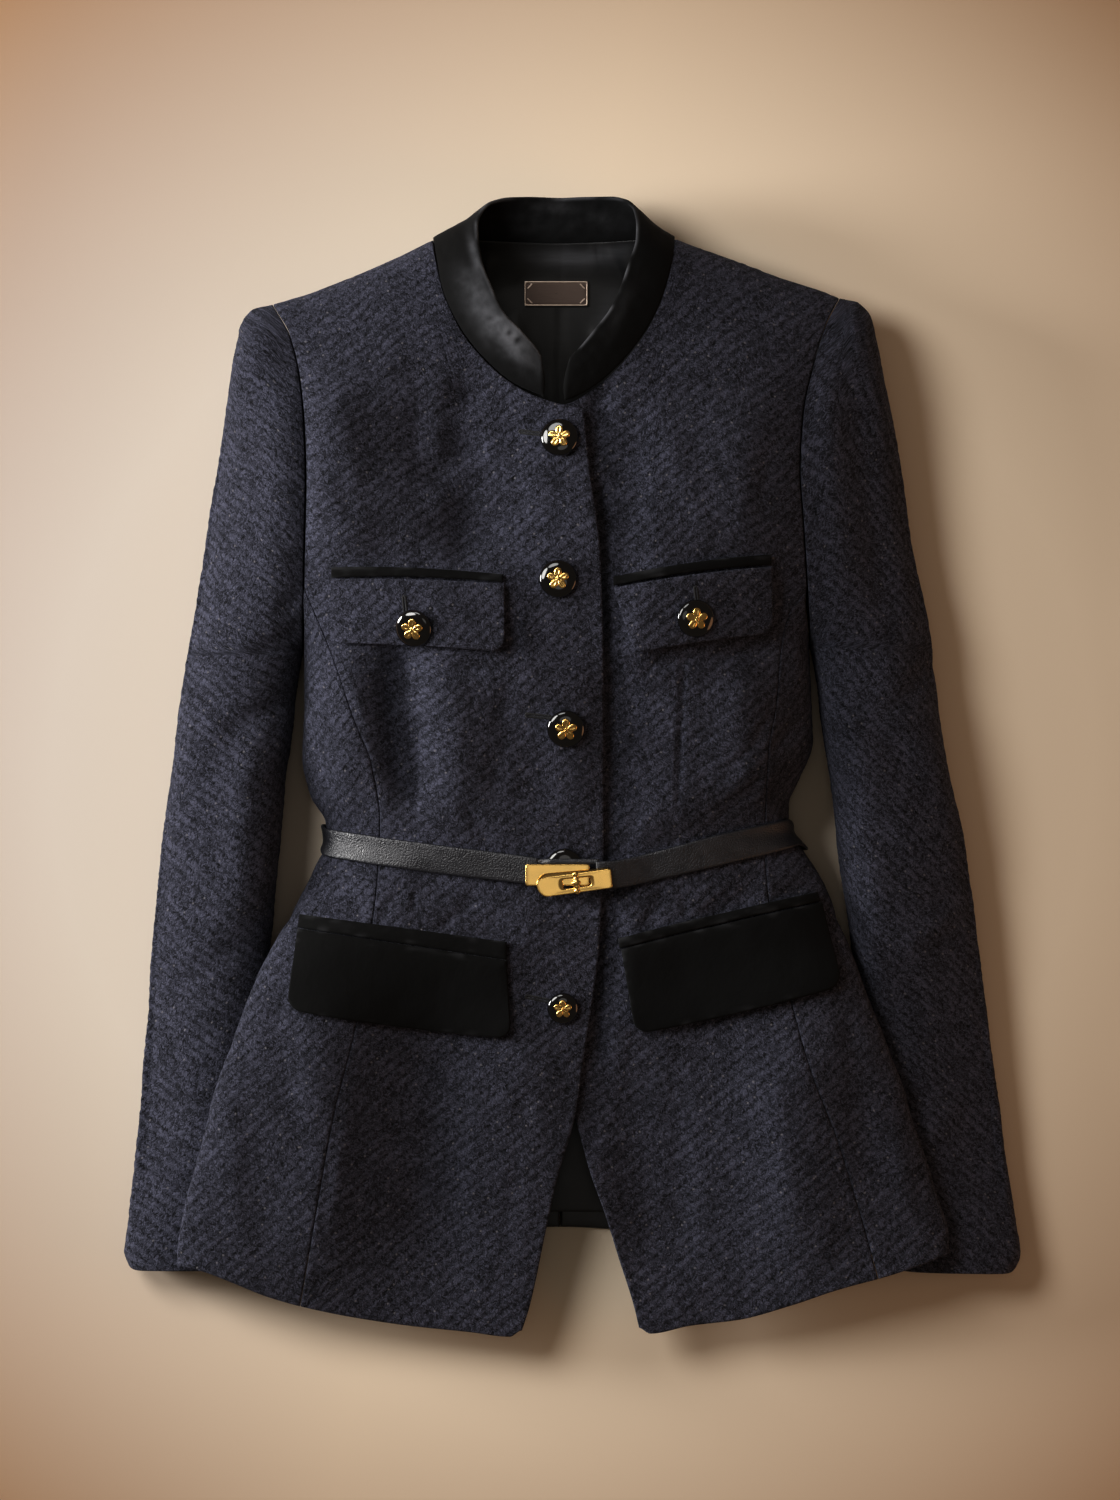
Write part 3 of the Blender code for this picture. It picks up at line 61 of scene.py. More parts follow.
# ---------------------------------------------------------------- driving sizes
TWEED = 2.4  # cloth walls
VELVET = 2.0
SATIN = 1.0
SEAM_INSET = 0.22  # each side of a seam
CLOTH_INSET = 0.01  # of the edges that meet no other panel
LAY = 0.5  # between a panel and what lies on it
CENTRE_BACK_X = -8
SHOULDER_Z = 30  # height of the shoulder seams
SHOULDER_TURN = 14  # how far below the shoulder seam the cloth's walls still turn towards it
SHOULDER_REACH = 70  # how far below the shoulder seam the chest reaches its full depth
CAP_REACH = 45  # the same on the sleeve head
SHOULDER_ROUNDING = 2.2  # how squarely both rise from the seam
EDGE_START = 0.35  # the share of the half width where the middle surface starts to turn to the side edge
BACK_FLATTEN = 1.03  # flattens the back's middle onto the surface
SLEEVE_POWER = 2.4  # squareness of the sleeves' sections
SLEEVE_MATCH = 32  # how far from the armhole the sleeve takes up the body's height
OVER_SLEEVE = 2.6  # between a sleeve and the skirt of the jacket that lies on it
OVER_SLEEVE_Y = -60  # the skirt lies on the sleeves below this
ARMHOLE_DIP = 7
ARMHOLE_DIP_REACH = 42
OUTER_WRAP = 0.45  # how far the top sleeve goes round under the sleeve's outer edge, in radians
INNER_SEAM = 0.4  # how far under the inner edge the other seam lies, in radians
INNER_SEAM_REACH = 50  # how far below the underarm it gets there
FOLD_ROOM = 12  # the half thickness at which the folds have their full height
FOLD_OVERRUN = 0.15  # how far a fold runs past both its ends, as a share of its length
FOLD_FADE = 0.4  # the share of its length over which it fades there
BELT_WIDTH = 18
BELT_THICK = 1.9
BELT_CINCH = 3.0  # how far the belt pulls the front in
CINCH_HALF = 10  # half the width of the flat bottom of that groove
CINCH_REACH = 26  # the width of its sides
BELT_ROOM = 2.8  # how far the back is raised over the belt's back run
ROOM_HALF = 12
ROOM_REACH = 14
BUTTON_RADIUS = 12
LAST_BUTTON_RADIUS = 10
BUTTON_THICK = 4.6

At = namedtuple("At", "y x")
Level = namedtuple("Level", "y depth edge power")
Point = namedtuple("Point", "x y")
Fold = namedtuple("Fold", "x1 y1 x2 y2 width height")
Ruling = namedtuple("Ruling", "seam_x seam_y face free_x free_y free_z")
Side = namedtuple(
    "Side",
    "name toward_body arm underarm_y join_y side_seam back_seam sleeve_outer sleeve_inner",
)

# The torso from the collar down: depth front to back, height of the side edges, squareness
TORSO = (
    Level(345, 56, 30, 2.8),
    Level(300, 62, 30, 3.0),
    Level(250, 71, 30, 3.4),
    Level(200, 79, 30, 3.7),
    Level(150, 86, 30, 3.7),
    Level(110, 88, 29, 3.6),
    Level(71, 87, 29, 3.4),
    Level(30, 83, 29, 3.2),
    Level(-15, 77, 29, 3.0),
    Level(-55, 73, 30, 2.8),
    Level(-83, 71, 34, 2.6),
    Level(-111, 68, 41, 2.5),
    Level(-137, 64, 46, 2.4),
    Level(-172, 59, 48, 2.3),
    Level(-207, 54, 46, 2.3),
    Level(-246, 48, 43, 2.3),
    Level(-291, 41, 40, 2.3),
    Level(-366, 33, 38, 2.3),
)
# The torso's side edges. Above the underarm they run on inside the sleeves.
LEFT_EDGE = (
    At(345, -232), At(250, -230), At(200, -226), At(150, -214), At(113, -194), At(71, -172.2),
    At(40, -172), At(4, -173), At(-19, -168), At(-35, -159), At(-48, -157), At(-63, -164),
    At(-83, -174), At(-111, -190), At(-137, -203), At(-172, -216), At(-207, -228), At(-246, -238),
    At(-291, -250), At(-311, -253), At(-345, -253),
)
RIGHT_EDGE = (
    At(345, 206), At(250, 204), At(200, 200), At(150, 188), At(113, 169), At(76, 151.6),
    At(40, 153), At(15, 154), At(-6, 147), At(-25, 139), At(-41, 139), At(-55, 149),
    At(-76, 162), At(-102, 172), At(-134, 184), At(-175, 200), At(-223, 216), At(-271, 232),
    At(-303, 241), At(-345, 242),
)
# The shoulder seams, and between them the line that the neck is cut out of
SHOULDER = (
    Point(-208, 292), Point(-192, 296), Point(-174, 301), Point(-142, 313), Point(-110, 327),
    Point(-90, 337), Point(-60, 350), Point(-12, 362), Point(45, 350), Point(66, 338),
    Point(101, 325), Point(133, 313), Point(158, 305), Point(171, 300), Point(183, 297), Point(194, 290),
)
# The necklines of the fronts and the backs, up to the shoulder seams
NECK_FRONT_LEFT = (
    Point(7, 228), Point(-7, 231), Point(-18, 234), Point(-37, 243), Point(-57, 260), Point(-73, 281),
    Point(-84, 307),
)
NECK_FRONT_RIGHT = (
    Point(-24, 231), Point(-6, 231), Point(11, 239), Point(27, 252), Point(43, 271), Point(54, 290),
    Point(61, 310),
)
NECK_BACK_LEFT = (Point(-8, 335.2), Point(-30, 335.7), Point(-52, 336.5), Point(-72, 337.6))
NECK_BACK_RIGHT = (Point(-8, 335.2), Point(12, 335.7), Point(32, 336.5), Point(50, 337.6))
SHOULDER_X_LEFT = (-90, -112, -142, -168, -192)  # the panels' columns along the shoulder seams
SHOULDER_X_RIGHT = (66, 87, 112, 140, 171)
# The fronts' free edges
CLOSURE_LEFT = (
    At(228, 7), At(189, 11), At(132, 18), At(42, 20), At(-54, 20), At(-100, 18), At(-127, 16),
    At(-175, 9), At(-223, 2), At(-265, -10), At(-303, -18), At(-345, -27), At(-364, -33),
)
CLOSURE_RIGHT = (
    At(231, -24), At(-100, -24), At(-150, -22), At(-190, -12), At(-230, 3), At(-259, 11),
    At(-287, 21), At(-316, 30), At(-345, 39), At(-362, 43),
)
HEM_FRONT = (
    Point(-256, -319), Point(-238, -323), Point(-219, -330), Point(-197, -339), Point(-174, -346),
    Point(-142, -353), Point(-104, -359), Point(-66, -363), Point(-40, -366), Point(-33, -362),
    Point(42, -360), Point(50, -364), Point(75, -359), Point(107, -355), Point(139, -346),
    Point(171, -335), Point(203, -326), Point(229, -317), Point(244, -311),
)
CENTRE_BACK = (At(345, CENTRE_BACK_X), At(-345, CENTRE_BACK_X))
HEM_BACK = (
    Point(-256, -319), Point(-200, -317), Point(-120, -307), Point(-60, -299), Point(-8, -297),
    Point(45, -300), Point(110, -307), Point(190, -314), Point(244, -311),
)
BELT_FRONT = (
    Point(-160, -48), Point(-123, -54), Point(-78, -60), Point(-30, -66), Point(0, -70),
    Point(25, -69), Point(59, -62), Point(101, -52), Point(140, -42),
)
BELT_BACK_Y = -46

LEFT = Side(
    name="left",
    toward_body=1,
    arm=(At(296, -192), At(276, -181), At(247, -174), At(215, -171), At(183, -170), At(135, -171),
         At(113, -171.5), At(71, -172.2)),
    underarm_y=71,
    join_y=113,
    side_seam=(At(113, -171.5), At(74, -155), At(29, -139), At(1, -128), At(-35, -123), At(-76, -125),
               At(-102, -128), At(-166, -138), At(-223, -152), At(-287, -164), At(-345, -174)),
    back_seam=(At(113, -171.5), At(71, -150), At(17, -128), At(-40, -116), At(-83, -128), At(-137, -150),
               At(-207, -172), At(-319, -196)),
    sleeve_outer=(At(293, -205), At(290, -208), At(286.5, -210.7), At(282, -213), At(257, -218),
                  At(215, -224), At(177, -230), At(132, -237), At(93, -243), At(55, -250), At(13, -255),
                  At(-47, -263), At(-111, -269), At(-175, -274), At(-239, -280), At(-294, -286),
                  At(-311, -288), At(-323, -284)),
    sleeve_inner=(At(297, -160), At(247, -136), At(183, -132), At(135, -138), At(103, -152), At(85, -165),
                  At(71, -172.8), At(55, -175.5), At(17, -180), At(-3, -183), At(-47, -187), At(-95, -192),
                  At(-137, -195), At(-175, -197), At(-239, -201), At(-323, -208)),
)
RIGHT = Side(
    name="right",
    toward_body=-1,
    arm=(At(300, 171), At(282, 162), At(257, 154), At(225, 147), At(189, 145), At(157, 147),
         At(113, 149.8), At(76, 151.6)),
    underarm_y=76,
    join_y=113,
    side_seam=(At(113, 149.8), At(98, 139), At(81, 134), At(39, 130), At(10, 125), At(-54, 123),
               At(-105, 128), At(-153, 140), At(-195, 152), At(-236, 168), At(-287, 184), At(-330, 196)),
    back_seam=(At(113, 149.8), At(76, 132), At(17, 112), At(-40, 98), At(-83, 112), At(-137, 134),
               At(-207, 160), At(-319, 186)),
    sleeve_outer=(At(296.5, 184), At(293, 188), At(288.5, 191.2), At(282, 193.3), At(247, 200), At(196, 210),
                  At(135, 219), At(87, 229), At(36, 235), At(4, 240), At(-47, 251), At(-127, 262),
                  At(-175, 268), At(-239, 277), At(-281, 283), At(-314, 288), At(-324, 284)),
    sleeve_inner=(At(299, 140), At(257, 120), At(189, 112), At(140, 118), At(108, 132), At(90, 145),
                  At(76, 152.2), At(55, 156), At(23, 160), At(-15, 166), At(-63, 171), At(-95, 176),
                  At(-134, 181), At(-175, 186), At(-239, 196), At(-324, 206)),
)
SLEEVE_THICK = (
    At(300, 58), At(247, 60), At(183, 61), At(113, 59), At(55, 57), At(-3, 55), At(-60, 54),
    At(-111, 51), At(-137, 48), At(-172, 44), At(-207, 40), At(-246, 37), At(-291, 34), At(-324, 32),
)
SLEEVE_HEM_LEFT = (Point(-288, -320), Point(-261, -324), Point(-208, -324))
SLEEVE_HEM_RIGHT = (Point(288, -320), Point(261, -326), Point(235, -325), Point(206, -321))

# The largest folds: a soft trough (minus) or ridge along a line
FRONT_FOLDS = (
    Fold(-112, 84, -100, -20, 15, -10),
    Fold(-147, 74, -142, -22, 15, 7),
    Fold(-78, 64, -72, -30, 14, 2.5),
    Fold(-158, -62, -140, -80, 6, -3),
    Fold(-104, -72, -40, -108, 16, -3),
    Fold(-152, 244, -148, 126, 20, 8),
    Fold(-76, 236, -56, 120, 36, -8),
    Fold(-30, 40, -24, -30, 20, -3),
    Fold(-156, -150, -162, -330, 28, 8),
    Fold(-90, -150, -84, -330, 34, -8),
    Fold(-30, -170, -44, -330, 18, 2),
    Fold(34, 222, 36, 110, 12, -3),
    Fold(112, 230, 110, 140, 26, 4.5),
    Fold(32, 62, 38, -34, 24, -8),
    Fold(112, 62, 116, -24, 24, 11),
    Fold(118, -76, 84, -96, 8, -2.5),
    Fold(30, -180, 56, -330, 26, -7),
    Fold(136, -170, 150, -330, 32, 10),
)
SLEEVE_FOLDS = (
    Fold(176, 268, 203, 78, 12, -5),
    Fold(160, 245, 174, 100, 13, 4),
    Fold(206, 230, 232, 20, 18, -8),
    Fold(178, 40, 194, -160, 15, 4),
    Fold(240, -20, 268, -300, 24, -9),
    Fold(206, 20, 232, -40, 14, -2.5),
    Fold(-180, 240, -194, 100, 18, 6),
    Fold(-224, 240, -250, 20, 24, -10),
    Fold(-204, 20, -210, -100, 18, 6),
    Fold(-254, 0, -276, -290, 24, -10),
    Fold(-200, 40, -234, -20, 14, -3),
)

# The collar band: each ruling runs from the neck seam to the free edge. Face says which layer's height the
# seam takes there: 1 the front, -1 the back.
COLLAR = (
    Ruling(-18, 235, 1, -18.5, 252, 73),
    Ruling(-20, 236, 1, -20, 260, 76),
    Ruling(-37, 243.5, 1, -31, 275, 76),
    Ruling(-57, 260.5, 1, -44, 289, 74),
    Ruling(-73, 281.5, 1, -52, 306, 70),
    Ruling(-84, 307, 1, -58, 322, 64),
    Ruling(-87.3, 325, 1, -60.5, 337, 58),
    Ruling(-89.8, 338.6, 1, -61, 347, 51),
    Ruling(-82, 339.2, -1, -58, 356, 44),
    Ruling(-72, 338.8, -1, -52, 362, 38),
    Ruling(-52, 337.2, -1, -40, 365, 31),
    Ruling(-30, 336.2, -1, -26, 365.5, 26),
    Ruling(-8, 335.6, -1, -8, 365, 24),
    Ruling(12, 336.2, -1, 8, 365.5, 26),
    Ruling(32, 337.2, -1, 24, 365.5, 31),
    Ruling(50, 338.8, -1, 35, 363, 38),
    Ruling(58, 339.4, -1, 40, 357, 44),
    Ruling(66, 339.2, 1, 41.5, 347, 51),
    Ruling(65, 328, 1, 41, 337, 57),
    Ruling(61, 310, 1, 36, 321, 63),
    Ruling(54, 290.5, 1, 31, 306, 68),
    Ruling(43, 271.5, 1, 24, 291, 72),
    Ruling(27, 252.7, 1, 15, 279, 75),
    Ruling(11, 239.8, 1, 6, 268, 76),
    Ruling(-4, 232.8, 1, -2, 259, 76),
    Ruling(-5.5, 232.6, 1, -4.5, 250, 73),
)
COLLAR_BULGE = 1.6

# Flaps and welts: four corners, top-left first, anticlockwise
Flap = namedtuple("Flap", "name material thick top_left bottom_left bottom_right top_right corner bow")
FLAP_THICK = 3.0
VELVET_FLAP_THICK = 2.6
WELT_THICK = 2.2
FLAP_CORNER = 9  # radius of a flap's lower corners
FLAPS = (
    Flap("chest_flap_left", "tweed", FLAP_THICK,
         Point(-154, 118.5), Point(-155, 78), Point(-43, 72), Point(-43, 116), FLAP_CORNER, 1.5),
    Flap("chest_flap_right", "tweed", FLAP_THICK,
         Point(26, 113.5), Point(39, 71), Point(127, 84), Point(128, 127), FLAP_CORNER, 1.5),
    Flap("hip_flap_left", "velvet", VELVET_FLAP_THICK,
         Point(-176, -103.5), Point(-182, -155), Point(-39, -174), Point(-42, -124.5), FLAP_CORNER, -2),
    Flap("hip_flap_right", "velvet", VELVET_FLAP_THICK,
         Point(31, -117.5), Point(40, -171), Point(172, -140), Point(160, -87), FLAP_CORNER, -2),
)
WELTS = (
    Flap("chest_welt_left", "velvet", WELT_THICK,
         Point(-154, 126), Point(-154, 119.5), Point(-44, 117), Point(-44, 122), 0, 2),
    Flap("chest_welt_right", "velvet", WELT_THICK,
         Point(26, 120.4), Point(26, 114.5), Point(127, 128), Point(127, 134.4), 0, 2),
    Flap("hip_welt_left", "velvet", WELT_THICK,
         Point(-175, -94), Point(-176, -102.5), Point(-42, -123.5), Point(-42, -112), 0, 0),
    Flap("hip_welt_right", "velvet", WELT_THICK,
         Point(29, -110), Point(30, -116.5), Point(159, -86), Point(157, -80), 0, 1),
)
Button = namedtuple("Button", "name x y radius motif")
BUTTONS = (
    Button("button_1", -8, 209, BUTTON_RADIUS, True),
    Button("button_2", -9, 119, BUTTON_RADIUS, True),
    Button("button_3", -4, 24, BUTTON_RADIUS, True),
    Button("button_4", -5, -64, BUTTON_RADIUS, False),
    Button("button_5", -6, -154, LAST_BUTTON_RADIUS, True),
    Button("button_chest_left", -100, 88, BUTTON_RADIUS, True),
    Button("button_chest_right", 78, 94, BUTTON_RADIUS, True),
)


# ---------------------------------------------------------------- curves and easing
def smooth(at, keys, values):
    """A cubic through the points that never swings past them, level beyond both ends."""
    keys = np.asarray(keys, float)
    values = np.asarray(values, float)
    if keys[0] > keys[-1]:
        keys = keys[::-1]
        values = values[::-1]
    step = np.diff(keys)
    slope = np.diff(values) / step
    tangent = np.zeros(len(keys))
    same_way = slope[:-1] * slope[1:] > 0
    both = np.where(same_way, slope[:-1] + slope[1:], 1.0)
    tangent[1:-1] = np.where(same_way, 2 * slope[:-1] * slope[1:] / both, 0)
    tangent[0] = slope[0]
    tangent[-1] = slope[-1]
    at = np.clip(np.asarray(at, float), keys[0], keys[-1])
    i = np.clip(np.searchsorted(keys, at) - 1, 0, len(step) - 1)
    t = (at - keys[i]) / step[i]
    start = (1 + 2 * t) * (1 - t) ** 2 * values[i] + t * (1 - t) ** 2 * step[i] * tangent[i]
    end = t * t * (3 - 2 * t) * values[i + 1] - t * t * (1 - t) * step[i] * tangent[i + 1]
    return start + end


def x_at(table, y):
    """The table's x at height y up the jacket."""
    return smooth(y, [row.y for row in table], [row.x for row in table])


def y_at(table, x):
    """The table's y at x across the jacket."""
    return smooth(x, [row.x for row in table], [row.y for row in table])


def torso_level(y, column):
    """One column of the torso's table at height y."""
    return smooth(y, [row.y for row in TORSO], [getattr(row, column) for row in TORSO])


def ease(t):
    """From 0 to 1, level at both ends."""
    t = np.clip(t, 0, 1)
    return t * t * (3 - 2 * t)


def arch(t):
    """From 0 up to 1 midway and down to 0 again."""
    return 4 * t * (1 - t)


def rounded(distance, reach):
    """From 0 to 1 over the reach, steep at first, as a rounded edge rises."""
    t = np.clip(distance / reach, 0, 1)
    return (1 - (1 - t) ** SHOULDER_ROUNDING) ** (1 / SHOULDER_ROUNDING)


def fold_height(folds, x, y):
    """The height that the folds add at (x, y), each fading out towards its ends."""
    total = np.zeros(np.broadcast(x, y).shape)
    for fold in folds:
        along_x = fold.x2 - fold.x1
        along_y = fold.y2 - fold.y1
        length = math.hypot(along_x, along_y)
        t = ((x - fold.x1) * along_x + (y - fold.y1) * along_y) / length**2
        across = ((x - fold.x1) * along_y - (y - fold.y1) * along_x) / length
        ends = ease((t + FOLD_OVERRUN) / FOLD_FADE) * ease((1 + FOLD_OVERRUN - t) / FOLD_FADE)
        total = total + fold.height * np.exp(-((across / fold.width) ** 2)) * ends
    return total


# ---------------------------------------------------------------- the torso's surface
def torso_width(y):
    """(centre, half width) of the torso's section at y."""
    left = x_at(LEFT_EDGE, y)
    right = x_at(RIGHT_EDGE, y)
    return (left + right) / 2, (right - left) / 2


def torso_mid_and_half(x, y):
    """The height of the torso's middle surface at (x, y), and half its thickness there."""
    centre, half_width = torso_width(y)
    power = torso_level(y, "power")
    depth = torso_level(y, "depth")
    edge = torso_level(y, "edge")
    across = np.clip(np.abs(x - centre) / half_width, 0, 1)
    half = depth / 2 * (1 - across**power) ** (1 / power)
    mid = depth / 2 + (edge - depth / 2) * ease((across - EDGE_START) / (1 - EDGE_START))
    below = y_at(SHOULDER, x) - y
    half = half * rounded(below, SHOULDER_REACH)
    mid = SHOULDER_Z + (mid - SHOULDER_Z) * ease(below / SHOULDER_REACH)
    return mid, half


def armhole_dip(x, y):
    """The soft valley along the armholes, none at the shoulder or the underarm."""
    total = 0
    for side in (LEFT, RIGHT):
        distance = np.abs(x - x_at(side.arm, y))
        top = side.arm[0].y
        height = (y - side.underarm_y) / (top - side.underarm_y)
        strength = np.clip(arch(height), 0, 1)
        total = total + ARMHOLE_DIP * strength * np.clip(1 - distance / ARMHOLE_DIP_REACH, 0, 1) ** 2
    return total


def front_z(x, y):
    """The height of the front's outer surface."""
    mid, half = torso_mid_and_half(x, y)
    inside = np.clip(half / FOLD_ROOM, 0, 1)
    from_belt = np.abs(y - y_at(BELT_FRONT, x))
    cinch = BELT_CINCH * (1 - ease((from_belt - CINCH_HALF) / CINCH_REACH))
    relief = fold_height(FRONT_FOLDS, x, y) - armhole_dip(x, y) - cinch
    return mid + half + relief * inside


def back_z(x, y):
    """The height of the back's outer surface, which lies on the floor and on the sleeves."""
    mid, half = torso_mid_and_half(x, y)
    z = np.maximum(0, mid - BACK_FLATTEN * half)
    for side in (LEFT, RIGHT):
        middle, half_width = ring_width(side, y)
        over_sleeve = (y < OVER_SLEEVE_Y) & (np.abs(x - middle) < half_width)
        z = np.maximum(z, np.where(over_sleeve, ring_z(side, x, y, 1) + OVER_SLEEVE, 0))
    inside = np.clip(half / FOLD_ROOM, 0, 1)
    from_belt = np.abs(y - BELT_BACK_Y)
    return z + BELT_ROOM * (1 - ease((from_belt - ROOM_HALF) / ROOM_REACH)) * inside


def torso_point(theta, y):
    """A point of the torso's outer surface: 0 and pi are its side edges, and the front lies between them."""
    centre, half_width = torso_width(y)
    power = torso_level(y, "power")
    cosine = np.cos(theta)
    x = centre + half_width * np.sign(cosine) * np.abs(cosine) ** (2 / power)
    z = np.where(np.sin(theta) >= 0, front_z(x, y), back_z(x, y))
    return np.stack(np.broadcast_arrays(x, y, z), axis=-1)


def torso_theta(x, y):
    """The angle at which the front passes through x."""
    centre, half_width = torso_width(y)
    power = torso_level(y, "power")
    across = np.clip((x - centre) / half_width, -1, 1)
    return np.arccos(np.sign(across) * np.abs(across) ** (power / 2))


# ---------------------------------------------------------------- the sleeves' surfaces
def ring_width(side, y):
    """(middle x, half width) of the sleeve's section at y."""
    outer = x_at(side.sleeve_outer, y)
    inner = x_at(side.sleeve_inner, y)
    return (outer + inner) / 2, np.abs(inner - outer) / 2


def ring_z(side, x, y, face):
    """The sleeve's height at (x, y), on top (1) or underneath (-1), as if it ran on into the body."""
    middle, half_width = ring_width(side, y)
    across = np.abs(x - middle) / half_width
    thick = x_at(SLEEVE_THICK, y)
    half = thick / 2 * (1 - np.clip(across, 0, 1) ** SLEEVE_POWER) ** (1 / SLEEVE_POWER)
    below = y_at(SHOULDER, x) - y
    half = half * rounded(below, CAP_REACH)
    mid = SHOULDER_Z + (thick / 2 - SHOULDER_Z) * ease(below / CAP_REACH)
    if face > 0:
        return mid + half + fold_height(SLEEVE_FOLDS, x, y) * np.clip(half / FOLD_ROOM, 0, 1)
    return np.maximum(0, mid - BACK_FLATTEN * half)


def arm_x(side, y):
    """x of the sleeve's edge along the armhole."""
    return x_at(side.arm, y) - side.toward_body * SEAM_INSET


def sleeve_point(side, theta, y):
    """A point of the sleeve's outer surface: 0 is its edge next to the body, and pi its outer edge."""
    middle, half_width = ring_width(side, y)
    cosine = np.cos(theta)
    reach = half_width * np.sign(cosine) * np.abs(cosine) ** (2 / SLEEVE_POWER)
    x = middle + side.toward_body * reach
    top = ring_z(side, x, y, 1)
    under = ring_z(side, x, y, -1)
    seam_x = arm_x(side, y)
    seam_top = ring_z(side, seam_x, y, 1)
    seam_under = ring_z(side, seam_x, y, -1)
    share = ease(1 - np.abs(x - seam_x) / SLEEVE_MATCH) * (y > side.underarm_y)
    share = share * np.clip((top - under) / np.maximum(seam_top - seam_under, 1), 0, 1)
    top = top + share * (front_z(seam_x, y) - seam_top)
    under = np.maximum(0, under + share * (back_z(seam_x, y) - seam_under))
    z = np.where(np.sin(theta) >= 0, top, under)
    return np.stack(np.broadcast_arrays(x, y, z), axis=-1)


def sleeve_start(side, y):
    """The angle of the armhole seam at y, and 0 below the underarm."""
    middle, half_width = ring_width(side, y)
    across = np.clip(side.toward_body * (arm_x(side, y) - middle) / half_width, -1, 1)
    angle = np.arccos(np.sign(across) * np.abs(across) ** (SLEEVE_POWER / 2))
    return np.where(y > side.underarm_y, angle, 0)


def sleeve_under(side, y):
    """How far the inner seam has moved under the sleeve at y, in radians."""
    return INNER_SEAM * ease((side.underarm_y - y) / INNER_SEAM_REACH)


# ---------------------------------------------------------------- directions of the walls
def surface_normals(surface, first, second):
    """Unit normals of surface(first, second), by small steps either way."""
    step = 1e-4
    along_first = surface(first + step, second) - surface(first - step, second)
    along_second = surface(first, second + step) - surface(first, second - step)
    normal = np.cross(along_second, along_first)
    return normal / np.maximum(np.linalg.norm(normal, axis=-1, keepdims=True), 1e-12)


def turn_to_shoulder(points, normals, on_shoulder):
    """Turns the walls near a shoulder seam towards it, so that the front's and the back's meet there."""
    x = points[0, :, 0]
    slope = (y_at(SHOULDER, x + 1) - y_at(SHOULDER, x - 1)) / 2
    facing = np.stack([-slope, np.ones_like(x), np.zeros_like(x)], axis=-1)
    facing /= np.linalg.norm(facing, axis=-1, keepdims=True)
    near = np.clip(1 - (points[0, :, 1] - points[..., 1]) / SHOULDER_TURN, 0, 1)
    normals += near[..., None] * facing
    normals /= np.linalg.norm(normals, axis=-1, keepdims=True)
    normals[0, on_shoulder] = facing[on_shoulder]


# ---------------------------------------------------------------- noise and the weave
# Large odd numbers that stir a point's column, its row, the seed and the sum of them
STIR_COLUMN = 374761393
STIR_ROW = 668265263
STIR_SEED = 974634777
STIR_SUM = 1274126177
Waves = namedtuple("Waves", "height wide long seed")


def lattice(column, row, seed):
    """A repeatable value from 0 to 1 for each whole-number point."""
    mixed = column.astype(np.int64) * STIR_COLUMN + row.astype(np.int64) * STIR_ROW + seed * STIR_SEED
    mixed = (mixed ^ (mixed >> 13)) * STIR_SUM
    mixed = mixed ^ (mixed >> 16)
    return (mixed & 0xFFFF) / 65535.0


def noise(x, y, seed):
    """Smooth noise from -1 to 1, with one bump for each unit of length."""
    column = np.floor(x)
    row = np.floor(y)
    right = ease(x - column)
    up = ease(y - row)
    low = lattice(column, row, seed) * (1 - right) + lattice(column + 1, row, seed) * right
    high = lattice(column, row + 1, seed) * (1 - right) + lattice(column + 1, row + 1, seed) * right
    return 2 * (low * (1 - up) + high * up) - 1


def waves(kind, x, y, seed=0):
    """Noise of a kind: its height, the size of its bumps along x and y, and its seed."""
    return kind.height * noise(x / kind.wide, y / kind.long, seed + kind.seed)


WALE_PITCH = 6.4
WALE_HEIGHT = 0.36
WALE_MEAN = 0.6  # a wale's own height on average, as a share
WALE_POWER = 2.2  # squareness of a wale's section
RIDGE_BASE = 0.65  # a wale's height goes up and down about this share of its full height
RIDGE_CHANGE = 0.5
WALE_BEND = 0.2  # how far a wale bends aside, as a share of its width
KNOT_HEIGHT = 0.34
KNOT_SHARE = 0.6  # the rest of that height are slubs
YARN_WANDER = Waves(1.6, 45, 45, 0)
YARN_WAVER = Waves(0.6, 14, 14, 50)
Yarn = namedtuple("Yarn", "across along seed")
# How many bumps there are to a wale's width, across and along the wales
BENDS = Yarn(0.9, 1.1, 120)
RIDGES = Yarn(0.4, 0.25, 130)
KNOTS = Yarn(2.4, 2.1, 100)
SLUBS = Yarn(0.7, 0.4, 150)
Cloth = namedtuple("Cloth", "angle seed loft")
# Each panel's cloth: the angle of its wales in degrees, its seed and how high its weave stands
CLOTHS = {
    "front_left": Cloth(38, 1, 1.0),
    "front_right": Cloth(40, 2, 1.15),
    "side_left": Cloth(42, 3, 1.0),
    "side_right": Cloth(43, 4, 1.0),
    "back_left": Cloth(40, 5, 1.0),
    "back_right": Cloth(40, 6, 1.0),
    "top_sleeve_left": Cloth(30, 7, 1.5),
    "under_sleeve_left": Cloth(30, 8, 1.2),
    "top_sleeve_right": Cloth(50, 9, 1.2),
    "under_sleeve_right": Cloth(50, 10, 1.2),
    "chest_flap_left": Cloth(40, 11, 1.0),
    "chest_flap_right": Cloth(40, 12, 1.0),
}


def yarn_coordinates(u, v, cloth):
    """(wales counted across, wale widths counted along) at each point of a cloth, wandering a little."""
    angle = math.radians(cloth.angle)
    along = u * math.cos(angle) + v * math.sin(angle)
    across = v * math.cos(angle) - u * math.sin(angle)
    wander = waves(YARN_WANDER, u, v, cloth.seed) + waves(YARN_WAVER, u, v, cloth.seed)
    return (across + wander) / WALE_PITCH, along / WALE_PITCH


